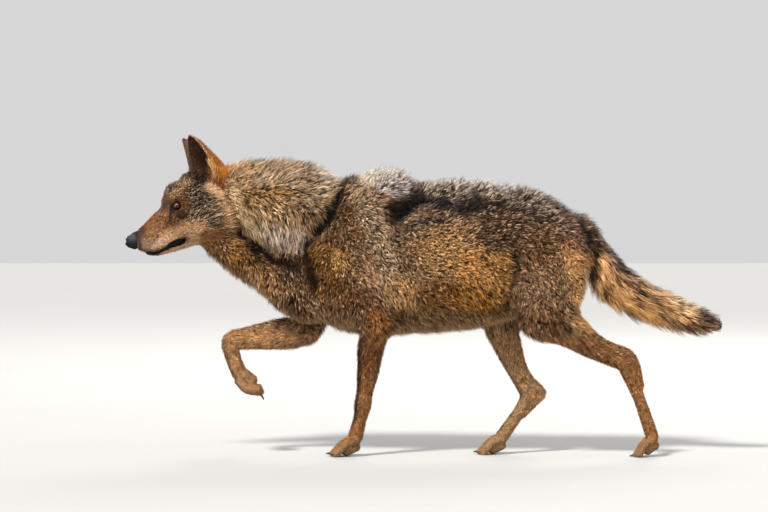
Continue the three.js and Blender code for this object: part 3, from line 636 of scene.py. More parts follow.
NOSE_FORMS = [
    Form([[-706, 0, 549, 18, 20, 0], [-716, 0, 546, 18.5, 21, 0], [-725, 0, 541, 18.5, 21, 0],
          [-734.5, 0, 536.5, 15.5, 18, 0], [-726, 0, 530, 12, 14, 0]], blend=6),
    *both_sides([[-718, 13, 541, 9, 8, 0], [-729, 14, 539, 9.5, 8, 0], [-737, 10, 537, 9, 8, 0]], blend=4),
]
NOSTRILS = both_sides([
    [-752, 7, 538, 4.4, 3.8, 0], [-742, 10, 537, 4.0, 3.6, 0], [-737, 17, 534, 3.2, 3.0, 0],
    [-730, 22, 535, 2.8, 3.2, 0], [-724, 22.5, 538, 2.6, 3.2, 0], [-721, 22, 543, 2.2, 2.8, 0],
], blend=3)


def nose_field(p):
    q = in_head(p)
    field = joined(NOSE_FORMS, q)
    field = smooth_max(field, -joined(NOSTRILS, q), 2.2)
    groove = np.hypot(q[:, 1] / 1.1, np.maximum(q[:, 2] - 536, 0) / 3) - 1
    front = q[:, 0] + 740
    return smooth_max(field, -np.maximum(groove, front), 2.0)


# ---------------------------------------------------------------- noise, colour and the chart

TABLE = np.random.default_rng(5).random((32, 32, 32))
NOISE_STEP = 7.31  # how far one seed's noise lies from the next seed's
OVAL_SOFT, STRIPE_SOFT = 0.45, 0.6  # widths of the faded edges, as shares of the half size


def eased(t):
    """From 0 to 1 as t goes from 0 to 1, starting and ending gently."""
    t = np.clip(t, 0, 1)
    return t * t * (3 - 2 * t)


def noise(p, size, seed=0):
    """Smooth value noise between 0 and 1, with features about size across."""
    q = p / size + seed * NOISE_STEP
    i = np.floor(q).astype(int)
    f = eased(q - i)
    total = 0
    for corner in np.ndindex(2, 2, 2):
        weight = np.where(corner, f, 1 - f).prod(1)
        total = total + weight * TABLE[tuple(((i + corner) % len(TABLE)).T)]
    return total


def rgb(r, g, b):
    """A colour given by its 8-bit screen values, as linear light."""
    c = np.array([r, g, b]) / 255.0
    return np.where(c <= 0.04045, c / 12.92, ((c + 0.055) / 1.055) ** 2.4)


def chart(p):
    """Where points lie on the side view's chart, the turned head read in its own frame."""
    head = np.clip((-470 - p[:, 0]) / 60, 0, 1)
    x = p[:, 0] * (1 - head) + (in_head(p)[:, 0] + 5) * head
    return CHART_U + x / CHART_UNIT, CHART_V - p[:, 2] / CHART_UNIT


def oval(u, v, at, size, turn):
    """How far out points lie from the middle of an oval of the chart, as shares of its size."""
    c, s = math.cos(math.radians(turn)), math.sin(math.radians(turn))
    du, dv = u - at[0], v - at[1]
    return np.hypot((du * c + dv * s) / size[0], (dv * c - du * s) / size[1])


def patch(u, v, place, *shape):
    """1 in an oval round a point of the chart, or in a stripe along a path, fading to 0 at the edge."""
    if isinstance(place, list):
        d, soft = path_distance(place, u, v) / shape[0], STRIPE_SOFT
    else:
        d, soft = oval(u, v, place, *shape), OVAL_SOFT
    return eased((1 + soft - d) / (2 * soft))


# Each marking, painted shade and painted light among them: where, how large or wide, its colour, and how
# grizzled it is with black.
# An oval is a point, a size and a turn; a stripe is a path and a half width.
BODY_MARKS_AND_SHADING = [
    # neck
    ((275, 180), (50, 26), 0, (191, 162, 128), 0.60),
    ((262, 196), (34, 10), 0, (174, 129, 74), 0.55),
    ((308, 182), (28, 14), 20, (187, 157, 128), 0.70),
    ((325, 173), (19, 9), 20, (246, 226, 202), 0.45),
    ([(238, 163), (262, 162), (290, 163), (318, 168)], 5.5, (54, 44, 40), 0.95),
    ([(240, 163), (262, 161), (286, 162)], 4, (46, 38, 34), 0.90),
    ((239, 174), (9, 15), 10, (206, 166, 120), 0.45),
    ((227, 164), (4.5, 4.5), 30, (232, 200, 158), 0.20),
    ((272, 214), (26, 13), 10, (197, 158, 115), 0.60),
    ((272, 232), (24, 13), 16, (250, 223, 198), 0.50),
    ((294, 234), (11, 15), -20, (248, 218, 194), 0.50),
    ([(228, 190), (236, 204), (245, 219), (258, 231)], 5, (246, 210, 160), 0.15),
    # lower neck and chest
    ((235, 254), (22, 12), 25, (171, 118, 58), 0.45),
    ((264, 264), (22, 10), 15, (92, 59, 24), 0.50),
    ((268, 286), (24, 18), 30, (185, 138, 88), 0.60),
    ((302, 305), (24, 18), 20, (114, 76, 44), 0.65),
    ((296, 274), (15, 11), 20, (88, 60, 38), 0.60),
    # the tan edge down the throat, painted paler than the coat's own colour as painted light on the shaded
    # underside
    ([(208, 253), (222, 265), (236, 280), (248, 296)], 5, (236, 186, 130), 0.12),
    # painted shadow: a near black stripe under the lower edge of the mane
    ([(234, 228), (246, 241), (260, 252), (276, 259), (294, 261), (306, 256)], 6, (15, 7, 7), 0.15),
    # painted shadow: a dark stripe behind the pale ruff of the cheek
    ([(229, 204), (234, 218), (241, 233)], 3.2, (50, 29, 15), 0.15),
    # shoulder
    ((350, 196), (22, 18), 0, (115, 84, 53), 0.55),
    ((345, 228), (18, 20), 0, (136, 96, 58), 0.55),
    ([(352, 186), (368, 206), (378, 232), (384, 258), (380, 285)], 11, (190, 157, 124), 0.50),
    ((326, 262), (22, 19), 10, (161, 106, 45), 0.65),
    ((368, 274), (9, 10), 0, (212, 164, 120), 0.38),
    ((341, 256), (12, 8), 20, (235, 177, 111), 0.40),
    ((352, 297), (28, 13), 10, (125, 82, 43), 0.45),
    ((330, 285), (16, 12), 0, (134, 90, 42), 0.55),
    ((322, 302), (16, 10), 0, (146, 112, 78), 0.60),
    ((382, 320), (18, 14), 0, (160, 103, 54), 0.30),
    ((399, 314), (10, 18), 0, (104, 74, 46), 0.45),
    # flank
    ((412, 245), (20, 34), -15, (125, 99, 77), 0.55),
    ((452, 252), (44, 24), 0, (192, 145, 94), 0.45),
    ((478, 268), (28, 20), 0, (211, 151, 85), 0.40),
    ((402, 288), (20, 16), 0, (210, 158, 105), 0.40),
    ((462, 294), (46, 15), 0, (175, 116, 45), 0.50),
    ((430, 292), (18, 14), 0, (132, 86, 36), 0.55),
    ((500, 229), (34, 18), 0, (94, 65, 42), 0.62),
    ((504, 264), (12, 15), 0, (169, 119, 62), 0.45),
    ([(402, 318), (430, 321), (465, 316), (495, 308)], 8, (114, 76, 38), 0.50),
    ([(432, 183), (450, 181), (470, 182), (490, 187), (506, 192)], 6, (232, 220, 214), 0.62),
    ([(418, 203), (440, 203), (458, 208), (476, 207)], 3.5, (30, 24, 28), 0.30),
    # thigh and rump
    ((540, 252), (26, 24), 0, (127, 89, 56), 0.55),
    ((541, 290), (28, 26), 0, (160, 122, 90), 0.50),
    ((542, 318), (30, 12), 5, (120, 82, 50), 0.45),
    ((570, 232), (22, 15), 35, (130, 97, 82), 0.65),
    ((566, 258), (12, 14), 30, (176, 130, 92), 0.42),
    ([(567, 244), (579, 259), (584, 274)], 6, (224, 154, 102), 0.18),
    # the golden band at the back of the thigh, painted brighter than its own colour as painted light where
    # the surface turns from the light
    ([(573, 262), (579, 276), (583, 290), (585, 306), (581, 320)], 10, (255, 196, 126), 0.06),
    ([(516, 248), (514, 268), (509, 290), (502, 306)], 3.5, (64, 43, 17), 0.30),
    # tail
    ((650, 292), (80, 44), 27, (233, 174, 117), 0.45),
    ([(594, 256), (601, 270), (610, 284), (622, 298)], 9, (234, 178, 121), 0.15),
    ([(604, 288), (618, 302), (640, 314), (660, 324)], 8, (240, 180, 112), 0.08),
    ([(632, 274), (652, 287), (672, 300), (694, 312)], 6, (246, 212, 168), 0.40),
    ([(604, 262), (614, 268), (626, 282), (641, 294), (653, 307), (668, 317)], 3, (110, 80, 50), 0.75),
    ((600, 280), (2.5, 5), 20, (92, 56, 30), 0.40),
    ([(586, 222), (598, 237), (609, 252), (618, 262)], 8, (142, 112, 94), 0.62),
    ([(597, 234), (606, 246), (617, 259), (629, 271), (648, 284), (668, 295), (690, 306), (716, 320)], 3.6,
     (48, 32, 32), 0.45),
    ((688, 327), (24, 8), 14, (88, 54, 30), 0.50),
    ([(697, 315), (712, 320), (724, 325)], 6, (72, 52, 44), 0.40),
    ([(574, 222), (582, 233), (587, 246), (589, 258)], 2.2, (20, 13, 14), 0.30),
    ([(588, 226), (591, 245), (589, 258), (590, 270)], 2.6, (29, 17, 15), 0.30),
    # withers, the dark patch behind them (a dark mark of the coat deepened by painted shade), and painted
    # shade in the crease between mane and shoulder
    ((350, 178), (14, 8), 0, (239, 206, 180), 0.55),
    ((386, 178), (26, 13), 0, (250, 238, 224), 0.30),
    ((394, 190), (15, 11), 0, (209, 191, 183), 0.45),
    # the dark patch behind the withers: the coat's own dark mark, made darker with painted shade
    ((396, 211), (18, 7.5), -28, (10, 8, 8), 0.02),
    ((410, 197), (14, 7), -15, (44, 29, 24), 0.10),
    # painted shade: near black stripes and an oval along the crease between mane and shoulder
    ([(348, 182), (336, 198), (320, 217), (309, 238), (307, 260), (313, 280)], 5, (15, 7, 7), 0.12),
    ([(334, 198), (326, 209), (317, 219), (308, 234)], 4, (8, 5, 6), 0.0),
    ((322, 212), (6, 11), 35, (8, 5, 6), 0.0),
    # more of the dark patch behind the withers, partly painted shade
    ([(387, 208), (395, 213), (407, 209), (419, 200)], 4, (8, 6, 8), 0.0),
]
CREST = [(400, 176), (430, 181), (450, 178), (470, 176), (500, 182), (530, 186), (550, 197), (570, 208),
         (590, 222), (600, 235), (612, 250)]
# the saddle, as bands below the crest: from, to, edge, colour and grizzle
SADDLE = [
    (-60, 48, 14, (112, 86, 62), 0.62), (-60, 29, 6, (62, 48, 40), 0.60), (-60, 21, 8, (114, 97, 88), 0.95),
    (-60, 8, 6, (200, 182, 164), 0.80),
]
HEAD_MARKS_AND_SHADING = [
    ((180, 205), (60, 60), 0, (138, 86, 40), 0.70),
    ((185, 180), (18, 14), 0, (74, 47, 24), 0.80),
    ((200, 210), (17, 18), 0, (62, 45, 31), 0.85),
    ((206, 221), (12, 9), 0, (86, 64, 46), 0.85),
    ((197, 192), (13, 10), 0, (56, 36, 18), 0.80),
    ((206, 240), (15, 12), 0, (176, 124, 75), 0.40),
    ((158, 232), (16, 9), 35, (166, 119, 82), 0.25),
    ((148, 243), (9, 6), 10, (175, 140, 114), 0.25),
    ([(138, 230), (150, 219), (163, 208)], 6.5, (151, 95, 53), 0.25),
    ((141, 231), (6, 4), -40, (90, 55, 36), 0.30),
    ((172, 222), (8, 6), 0, (105, 70, 46), 0.35),
    ([(163, 241), (173, 232), (185, 226), (196, 226)], 6, (223, 174, 129), 0.08),
    ([(191, 231), (193, 241), (185, 249), (168, 253)], 5, (240, 198, 148), 0.08),
    ((162, 254.5), (8, 2.5), -8, (236, 180, 146), 0.10),
    ([(188, 172), (173, 186), (165, 199), (159, 211)], 3.5, (92, 72, 62), 0.80),
    ((166, 204), (4, 8), -20, (105, 78, 63), 0.35),
    ((179, 208), (7, 8), 0, (60, 36, 16), 0.25),
    ([(168, 198), (174, 197), (181, 200), (184, 204)], 2.2, (130, 81, 40), 0.20),
    ((180, 207), (3.5, 2), 20, (130, 84, 44), 0.15),
    ([(173, 199.5), (171.5, 204), (170, 209.5)], 2.0, (7, 7, 7), 0.05),
    ((172.6, 205.5), (2.6, 5.0), 12, (5, 5, 8), 0.0),
    ([(171, 197), (176, 190), (184, 184), (193, 179)], 2.6, (140, 106, 66), 0.85),
    ([(170, 209), (169, 221)], 1.2, (42, 18, 10), 0.20),
    ([(176, 215), (180, 217), (184.5, 214)], 2.0, (32, 19, 10), 0.10),
    ((200, 177), (12, 8), 0, (35, 14, 7), 0.40),
    ((200, 168), (4, 4), 0, (200, 160, 110), 0.20),
    ((216, 180), (9, 9), 0, (178, 100, 36), 0.15),
    ([(207, 188), (214, 193), (221, 205), (226, 217), (228, 227)], 5, (252, 206, 158), 0.15),
    # painted shadow: a dark stripe behind the cream band of the ruff
    ([(224, 196), (230, 206), (233, 218), (237, 230)], 3.2, (36, 15, 7), 0.15),
    ([(154, 246), (160, 243), (166, 238)], 3.0, (228, 186, 160), 0.15),
    ([(185, 230), (187.5, 237), (184, 244), (175, 249)], 1.6, (232, 186, 156), 0.0),
    ([(137, 229), (140, 237), (141, 248)], 1.3, (84, 62, 52), 0.15),
    ((151, 254), (8, 3.5), 0, (37, 9, 7), 0.05),
]
FUR_BLACK = rgb(13, 10, 11)
MARK_COVER, LEG_COVER, UNDER_COVER = 0.92, 0.85, 0.7


def tinted(colour, tone, mask):
    return colour + (tone - colour) * mask[:, None]


def painted(coat, layers, cover):
    """A coat's colour and grizzle after layers of (mask, tone, grizzle) are laid over them."""
    colour, grizzle = coat
    for mask, tone, dark in layers:
        colour = tinted(colour, rgb(*tone), mask * cover)
        grizzle = grizzle + (dark - grizzle) * (mask * cover)
    return colour, grizzle


def marked(coat, u, v, marks, share):
    layers = ((patch(u, v, *where) * share, tone, dark) for *where, tone, dark in marks)
    return painted(coat, layers, MARK_COVER)


def markings_and_shading(p, n):
    """The coat's colour, with painted shade and painted light in some places, and how grizzled it is, at
    points of the skin with these normals.
    """
    head = eased((-478 - p[:, 0]) / 40)
    # the noise that makes the edges of markings ragged, coarse and fine
    swirl = np.stack([noise(p, 38, s) - 0.5 for s in (1, 2, 3)], 1) * 24
    swirl += np.stack([noise(p, 13, s) - 0.5 for s in (4, 5, 6)], 1) * 10
    u, v = chart(p + swirl * (1 - 0.75 * head)[:, None])
    coat = np.tile(rgb(150, 114, 80), (len(p), 1)), np.full(len(p), 0.5)
    body = 1 - head
    # saddle: pale tips along the crest, a black band below it, then dark brown
    below = v - np.interp(u, *zip(*CREST))
    saddle = body * eased((u - 392) / 20) * eased((622 - u) / 14)
    coat = painted(coat, [
        (saddle * eased((below - low) / soft + 0.5) * eased((high - below) / soft + 0.5), tone, dark)
        for low, high, soft, tone, dark in SADDLE
    ], 1)
    coat = marked(coat, u, v, BODY_MARKS_AND_SHADING, body)
    # legs
    x, y, z = p.T
    legs = body * eased((325 - z) / 45) * (1 - eased((x - 560) / 20) * eased((z - 230) / 20))
    far, fore = y > 0, x < -60
    colour, grizzle = painted(coat, [
        (legs, (182, 124, 74), 0.12),
        (legs * far * fore, (198, 136, 78), 0.12),
        # painted shade: the far foreleg darker towards the chest, where the chest shades it
        (legs * far * fore * eased((x + 430) / 130), (146, 96, 60), 0.15),
        (legs * fore * ~far * eased((330 - z) / 60) * eased((z - 180) / 60), (126, 80, 46), 0.15),
        (legs * ~fore * eased((z - 170) / 90), (162, 113, 72), 0.22),
        (legs * ~fore * far, (146, 108, 66), 0.18),
        # the front of the forelegs darker: partly a dark stripe of the coat, partly painted shade
        (legs * fore * eased(-(n[:, 0] + 0.45) * 4) * eased((z - 60) / 40), (62, 42, 31), 0.25),
        (legs * ~fore * eased((n[:, 0] - 0.35) * 4), (200, 140, 88), 0.10),
        (legs * eased((60 - z) / 40), (184, 142, 100), 0.10),
    ], LEG_COVER)
    # paler belly and inner sides of the legs
    under = body * eased((-n[:, 2] - 0.6) * 3) * eased((z - 290) / 20)
    inner = legs * eased(-n[:, 1] * np.sign(y) * 2 - 0.4)
    for mask, tone in (under, (190, 150, 108)), (inner, (200, 156, 112)):
        colour = tinted(colour, rgb(*tone), mask * UNDER_COVER)
        grizzle = grizzle * (1 - 0.5 * mask)
    colour, grizzle = marked((colour, grizzle), u, v, HEAD_MARKS_AND_SHADING, head)
    # lips
    q = in_head(p)
    lips = head * eased((1.6 - outline_distance(LIPS, q[:, 0], q[:, 2])) / 2.0)
    return tinted(colour, rgb(14, 11, 13), lips), grizzle * (1 - lips)


# ---------------------------------------------------------------- the lie of the coat

# On the chart: a place, and how far right and down hair points there. It fans back from the ear.
GUIDES = [
    (240, 165, 1, -0.1), (280, 165, 1, -0.1), (320, 172, 1, 0.0), (250, 185, 1, 0.25), (290, 190, 1, 0.2),
    (318, 198, 1, 0.1), (235, 205, 0.75, 0.7), (255, 215, 0.6, 0.8), (280, 225, 0.35, 1),
    (300, 228, 0.15, 1), (270, 245, 0.3, 1), (298, 245, 0.1, 1), (215, 240, 0.8, 0.6),
    (225, 258, 0.7, 0.75), (250, 270, 0.5, 0.9), (270, 290, 0.4, 0.9), (300, 300, 0.4, 0.9),
    (300, 270, 0.4, 0.9), (345, 185, 1, 0.15), (375, 178, 1, -0.15), (398, 180, 1, 0.1),
    (398, 197, 0.8, 0.7), (425, 190, 1, 0.1), (345, 215, 0.5, 0.9), (325, 245, 0.2, 1), (325, 285, 0.3, 1),
    (372, 225, 0.75, 0.7), (380, 260, 0.7, 0.75), (375, 295, 0.55, 0.85), (350, 300, 0.3, 1),
    (385, 318, 0.6, 0.8), (420, 215, 1, 0.3), (420, 250, 0.9, 0.4), (415, 290, 0.85, 0.55),
    (460, 190, 1, 0.05), (460, 225, 1, 0.25), (460, 260, 1, 0.2), (455, 300, 1, 0.35), (500, 190, 1, 0.1),
    (495, 225, 1, 0.3), (495, 265, 0.85, 0.5), (490, 300, 0.7, 0.7), (540, 200, 1, 0.3),
    (530, 235, 0.8, 0.6), (540, 270, 0.45, 0.9), (545, 305, 0.5, 0.85), (525, 310, 0.3, 1),
    (570, 218, 0.8, 0.6), (575, 245, 0.55, 0.85), (572, 275, 0.35, 1), (580, 300, 0.25, 1),
    (592, 228, 0.65, 0.75),
]
GUIDE_REACH = 15.0


def guided(p):
    """The way the coat lies at points of the trunk and neck, blended from the nearest guides."""
    u, v = chart(p)
    total, way = 1e-9, np.zeros((len(p), 2))
    for gu, gv, *toward in GUIDES:
        w = np.exp(-((u - gu) ** 2 + (v - gv) ** 2) / (2 * GUIDE_REACH**2)) + 1e-7
        total = total + w
        way += w[:, None] * unit(np.array(toward, float))
    way /= total[:, None]
    return np.stack([way[:, 0], np.zeros(len(p)), -way[:, 1]], 1)


# On the chart: where the coat is longer or shorter than its depth gives, and how far it stands out.
LENGTHS = [
    ([(226, 194), (236, 208), (246, 220), (262, 229), (284, 233), (302, 228)], 8, 1.3, 1.0),
    ([(209, 192), (218, 203), (225, 216), (228, 226)], 5, 1.5, 1.1),
    ((388, 179), (22, 10), 0, 1.25, 1.4),
    ([(238, 162), (290, 160), (330, 169)], 6, 0.9, 1.35),
    ([(410, 182), (470, 178), (530, 187), (580, 213)], 8, 1.0, 1.3),
    ([(585, 250), (590, 270), (592, 284)], 8, 1.5, 1.3),
    ([(592, 250), (600, 272), (612, 296), (640, 318)], 8, 1.25, 1.0),
    ((345, 250), (28, 50), 0, 0.8, 1.0),
    ((470, 255), (60, 40), 0, 0.85, 1.0),
    ((545, 285), (30, 35), 0, 0.85, 0.9),
    ([(160, 207), (167, 192), (177, 180), (188, 171)], 7, 0.9, 0.55),
    ([(159, 207), (166, 191), (176, 178), (188, 169)], 2.0, 1.8, 2.6),
]


def lengthened(p):
    u, v = chart(p)
    longer, stand = np.ones(len(p)), np.ones(len(p))
    for *where, more, proud in LENGTHS:
        mask = patch(u, v, *where)
        longer = longer * (1 + (more - 1) * mask)
        stand = stand * (1 + (proud - 1) * mask)
    return longer, stand


BROW = 636  # the height above which the face has the longer coat of the head


def coat_at(p, spread=9.0):
    """The coat's depth, the way it lies and the share of each kind of fur, at points of the skin."""
    values = np.full((len(ALL_FORMS), len(p)), 1e3)
    coats = np.zeros((len(ALL_FORMS), len(p)))
    lies = np.zeros((len(ALL_FORMS), len(p), 3))
    q = in_head(p)
    for i, (f, of_head) in enumerate(ALL_FORMS):
        at = q if of_head else p
        near = f.near(at)
        if near.any():
            v, c, d = f.value(at[near], details=True)
            values[i, near], coats[i, near] = v, c
            lies[i, near] = d @ TURN.T if of_head else d
    weight = np.exp(-np.clip(values - values.min(0), 0, 90) / spread)
    weight /= weight.sum(0)
    kinds = np.zeros((len(p), len(KINDS)))
    for i, (f, _) in enumerate(ALL_FORMS):
        kinds[:, KINDS.index(f.kind)] += weight[i]
    lie = unit((weight[..., None] * lies).sum(0))
    brow = kinds[:, FACE] * eased((q[:, 2] - BROW) / 22)
    kinds[:, FACE] -= brow
    kinds[:, HEAD] += brow
    share = (kinds[:, BODY] + kinds[:, MANED])[:, None]
    return (weight * coats).sum(0), unit(lie * (1 - share) + guided(p) * share), kinds


# ---------------------------------------------------------------- meshes and materials

def added(name, data):
    obj = bpy.data.objects.new(name, data)
    bpy.context.scene.collection.objects.link(obj)
    return obj


def build(name, verts, faces, colours=None, normals=None, uvs=None, grow=None, alpha=None):
    """A mesh object from points in millimetres, with any colours, split normals, unwrap and growth."""
    mesh = bpy.data.meshes.new(name)
    size = faces.shape[1]
    mesh.vertices.add(len(verts))
    mesh.vertices.foreach_set("co", world(verts).ravel())
    mesh.loops.add(faces.size)
    mesh.loops.foreach_set("vertex_index", faces.ravel().astype(np.int32))
    mesh.polygons.add(len(faces))
    mesh.polygons.foreach_set("loop_start", np.arange(0, faces.size, size, dtype=np.int32))
    mesh.update(calc_edges=True)
    mesh.shade_smooth()
    if colours is not None:
        layer = mesh.color_attributes.new("tint", "FLOAT_COLOR", "POINT")
        alpha = np.ones(len(colours)) if alpha is None else alpha
        layer.data.foreach_set("color", np.c_[colours, alpha].ravel())
    if grow is not None:
        mesh.attributes.new("grow", "FLOAT", "POINT").data.foreach_set("value", grow)
    if uvs is not None:
        mesh.uv_layers.new(name="OFBake").data.foreach_set("uv", uvs[faces.ravel()].ravel())
    if normals is not None:
        mesh.normals_split_custom_set_from_vertices(normals)
    return added(name, mesh)


def dressed(obj, mat, slot, body="root"):
    obj.data.materials.append(mat)
    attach(obj, body)
    return obj


# the colour sockets of a Mix node
MIX_FACTOR, MIX_A, MIX_B, MIX_RESULT = 0, 6, 7, 2


class Shader:
    """A material whose Principled shader is fed by a few procedural nodes."""

    def __init__(self, name, roughness, specular=0.5):
        self.mat = bpy.data.materials.new(name)
        self.mat.use_nodes = True
        self.nodes, self.links = self.mat.node_tree.nodes, self.mat.node_tree.links
        self.out = self.nodes["Principled BSDF"]
        self.out.inputs["Roughness"].default_value = roughness
        self.out.inputs["Specular IOR Level"].default_value = specular
        self.place = self.nodes.new("ShaderNodeTexCoord").outputs["Object"]

    def texture(self, scale, detail=3.0, kind="ShaderNodeTexNoise", output="Fac"):
        node = self.nodes.new(kind)
        node.inputs["Scale"].default_value = scale
        node.inputs["Detail"].default_value = detail
        self.links.new(self.place, node.inputs["Vector"])
        return node.outputs[output]

    def attribute(self, name):
        node = self.nodes.new("ShaderNodeAttribute")
        node.attribute_name = name
        return node

    def ramp(self, value, stops):
        node = self.nodes.new("ShaderNodeValToRGB")
        points = node.color_ramp.elements
        while len(points) < len(stops):
            points.new(0.5)
        for point, (at, tone) in zip(points, stops):
            point.position = at
            point.color = (*(tone if np.ndim(tone) else (tone,) * 3), 1)
        self.links.new(value, node.inputs["Fac"])
        return node.outputs["Color"]

    def mix(self, kind, a, b, factor=1.0):
        node = self.nodes.new("ShaderNodeMix")
        node.data_type, node.blend_type = "RGBA", kind
        for number, value in (MIX_FACTOR, factor), (MIX_A, a), (MIX_B, b):
            if isinstance(value, bpy.types.NodeSocket):
                self.links.new(value, node.inputs[number])
            else:
                node.inputs[number].default_value = value
        return node.outputs[MIX_RESULT]

    def mottled(self, grain, stops):
        """The mesh's own tint, darkened by a grain."""
        return self.mix("MULTIPLY", self.attribute("tint").outputs["Color"], self.ramp(grain, stops))

    def times(self, a, b):
        node = self.nodes.new("ShaderNodeMath")
        node.operation = "MULTIPLY"
        self.links.new(a, node.inputs[0])
        self.links.new(b, node.inputs[1])
        return node.outputs[0]

    def feed(self, socket, value):
        self.links.new(value, self.out.inputs[socket])
        return self

    def bump(self, height, distance, strength=0.5):
        node = self.nodes.new("ShaderNodeBump")
        node.inputs["Strength"].default_value = strength
        node.inputs["Distance"].default_value = distance
        self.links.new(height, node.inputs["Height"])
        return self.feed("Normal", node.outputs["Normal"])


def hair_material():
    """Dark towards the root, partly the roots' own darker colour and partly painted shade deep in the coat;
    the tuft's own colour, and as black at the tip as its tint's alpha says.
    """
    s = Shader("wolf_hair", 0.62, 0.12)
    tint, grow = s.attribute("tint"), s.attribute("grow").outputs["Fac"]
    fine = s.texture(220.0, 2.0)
    # painted shade, with the darker roots: every tuft darkens towards its root, as the shade deep between
    # tufts
    body = s.ramp(grow, [(0.0, 0.04), (0.3, 0.3), (0.6, 1.0), (1.0, 1.0)])
    colour = s.mix("MULTIPLY", tint.outputs["Color"], body)
    colour = s.mix("MULTIPLY", colour, s.ramp(fine, [(0.3, 0.78), (0.7, 1.0)]))
    tip = s.times(s.ramp(grow, [(0.66, 0.0), (0.86, 1.0)]), tint.outputs["Alpha"])
    return s.feed("Base Color", s.mix("MIX", colour, (*FUR_BLACK, 1), tip)).mat


def skin_material():
    s = Shader("wolf_skin", 0.72, 0.2)
    fine = s.texture(420.0)
    return s.feed("Base Color", s.mottled(fine, [(0.25, 0.6), (0.75, 1.0)])).bump(fine, 0.0012).mat


def nose_material():
    s = Shader("nose_leather", 0.4, 0.09)
    pebble = s.texture(900.0, kind="ShaderNodeTexVoronoi", output="Distance")
    soft = s.texture(90.0)
    s.feed("Base Color", s.mottled(soft, [(0.3, 0.7), (0.7, 1.0)]))
    s.feed("Roughness", s.ramp(soft, [(0.3, 0.32), (0.7, 0.46)]))
    return s.bump(pebble, 0.0005, 0.7).mat


def eye_material():
    s = Shader("eye_clear", 0.1, 0.2)
    s.out.inputs["Coat Weight"].default_value = 0.12
    s.out.inputs["Coat Roughness"].default_value = 0.03
    return s.feed("Base Color", s.mottled(s.texture(1400.0, 4.0), [(0.3, 0.7), (0.7, 1.0)])).mat


def claw_material():
    s = Shader("claw_horn", 0.35, 0.5)
    grain = s.texture(300.0)
    s.feed("Base Color", s.ramp(grain, [(0.3, tuple(rgb(32, 28, 26))), (0.75, tuple(rgb(78, 66, 56)))]))
    return s.bump(grain, 0.0003, 0.4).mat


HAIR, SKIN = hair_material(), skin_material()

# ---------------------------------------------------------------- camera, light and floor

scene = bpy.context.scene
LOOK_AT, DISTANCE, TILT = Vector((-0.0993, 0.0, 0.500)), 15.0, math.radians(3.0)
LIT = Vector((-0.05, 0, 0.45))
FRAME_WIDTH, SENSOR = 1.92, 36.0
camera = added("camera", bpy.data.cameras.new("camera"))
camera.data.sensor_width = SENSOR
camera.data.lens = SENSOR * DISTANCE / FRAME_WIDTH
camera.data.clip_end = 60.0
camera.location = LOOK_AT + Vector((0, -DISTANCE * math.cos(TILT), DISTANCE * math.sin(TILT)))
camera.rotation_euler = (math.pi / 2 - TILT, 0, 0)
scene.camera = camera


def lamp(name, kind, place, power, colour, **settings):
    data = bpy.data.lights.new(name, kind)
    data.energy, data.color = power, colour
    for key, value in settings.items():
        setattr(data, key, value)
    light = added(name, data)
    light.location = place
    light.rotation_euler = (LIT - Vector(place)).to_track_quat("-Z", "Y").to_euler()


lamp("key", "SUN", (-2.6, -4.2, 5.4), 5.5, (1.0, 0.955, 0.88), angle=math.radians(10))
lamp("fill", "AREA", (1.0, -5.0, 1.2), 120, (1.0, 0.97, 0.92), shape="DISK", size=3.0)
lamp("rim", "AREA", (1.0, 3.6, 3.0), 120, (1.0, 0.97, 0.92), shape="DISK", size=2.5)
scene.world = bpy.data.worlds.new("studio")
scene.world.use_nodes = True
sky = scene.world.node_tree.nodes["Background"]
sky.inputs["Color"].default_value = (0.94, 0.94, 0.94, 1)
sky.inputs["Strength"].default_value = 0.72
scene.view_settings.view_transform = "Standard"

square = np.array([[-FAR, -FAR, 0], [FAR, -FAR, 0], [FAR, FAR, 0], [-FAR, FAR, 0]])
FLOOR = build("floor", square - SHIFT * [1, 1, 0], np.array([[0, 1, 2, 3]]))
pale = Shader("floor_pale", 0.9, 0.1)
greys = pale.ramp(pale.texture(3.0), [(0.0, (0.41, 0.415, 0.42)), (1.0, (0.425, 0.43, 0.435))])
FLOOR.data.materials.append(pale.feed("Base Color", greys).mat)


# ---------------------------------------------------------------- the skin, eyes, nose and claws

BODY_CELL, HEAD_CELL, FOOT_CELL, NOSE_CELL = 6.0, 2.4, 2.6, 1.25
blocks = [skin_block((-560, -150, 40), (770, 150, 770), BODY_CELL, rest_field)]
blocks.append(skin_block((-740, -104, 470), (-470, 104, 736), HEAD_CELL, part_field(*HEAD_SPLIT)))
for point, normal, low, high in FOOT_SPLITS.values():
    blocks.append(skin_block(low, high, FOOT_CELL, part_field(point, normal)))
skin_verts, skin_faces = merged(blocks)
skin_normals = vertex_normals(skin_verts, skin_faces)
depth, lie, kinds = coat_at(skin_verts)
colour, grizzle = markings_and_shading(skin_verts, skin_normals)

SIDES = {-1: "left", 1: "right"}
ears = {side: ear_mesh(side) for side in SIDES}
lids = {side: lid_patch(side) for side in SIDES}
parts = [(skin_verts, skin_faces), *ears.values(), *[(v, f) for v, f, _ in lids.values()]]
all_verts, all_faces = merged(parts)
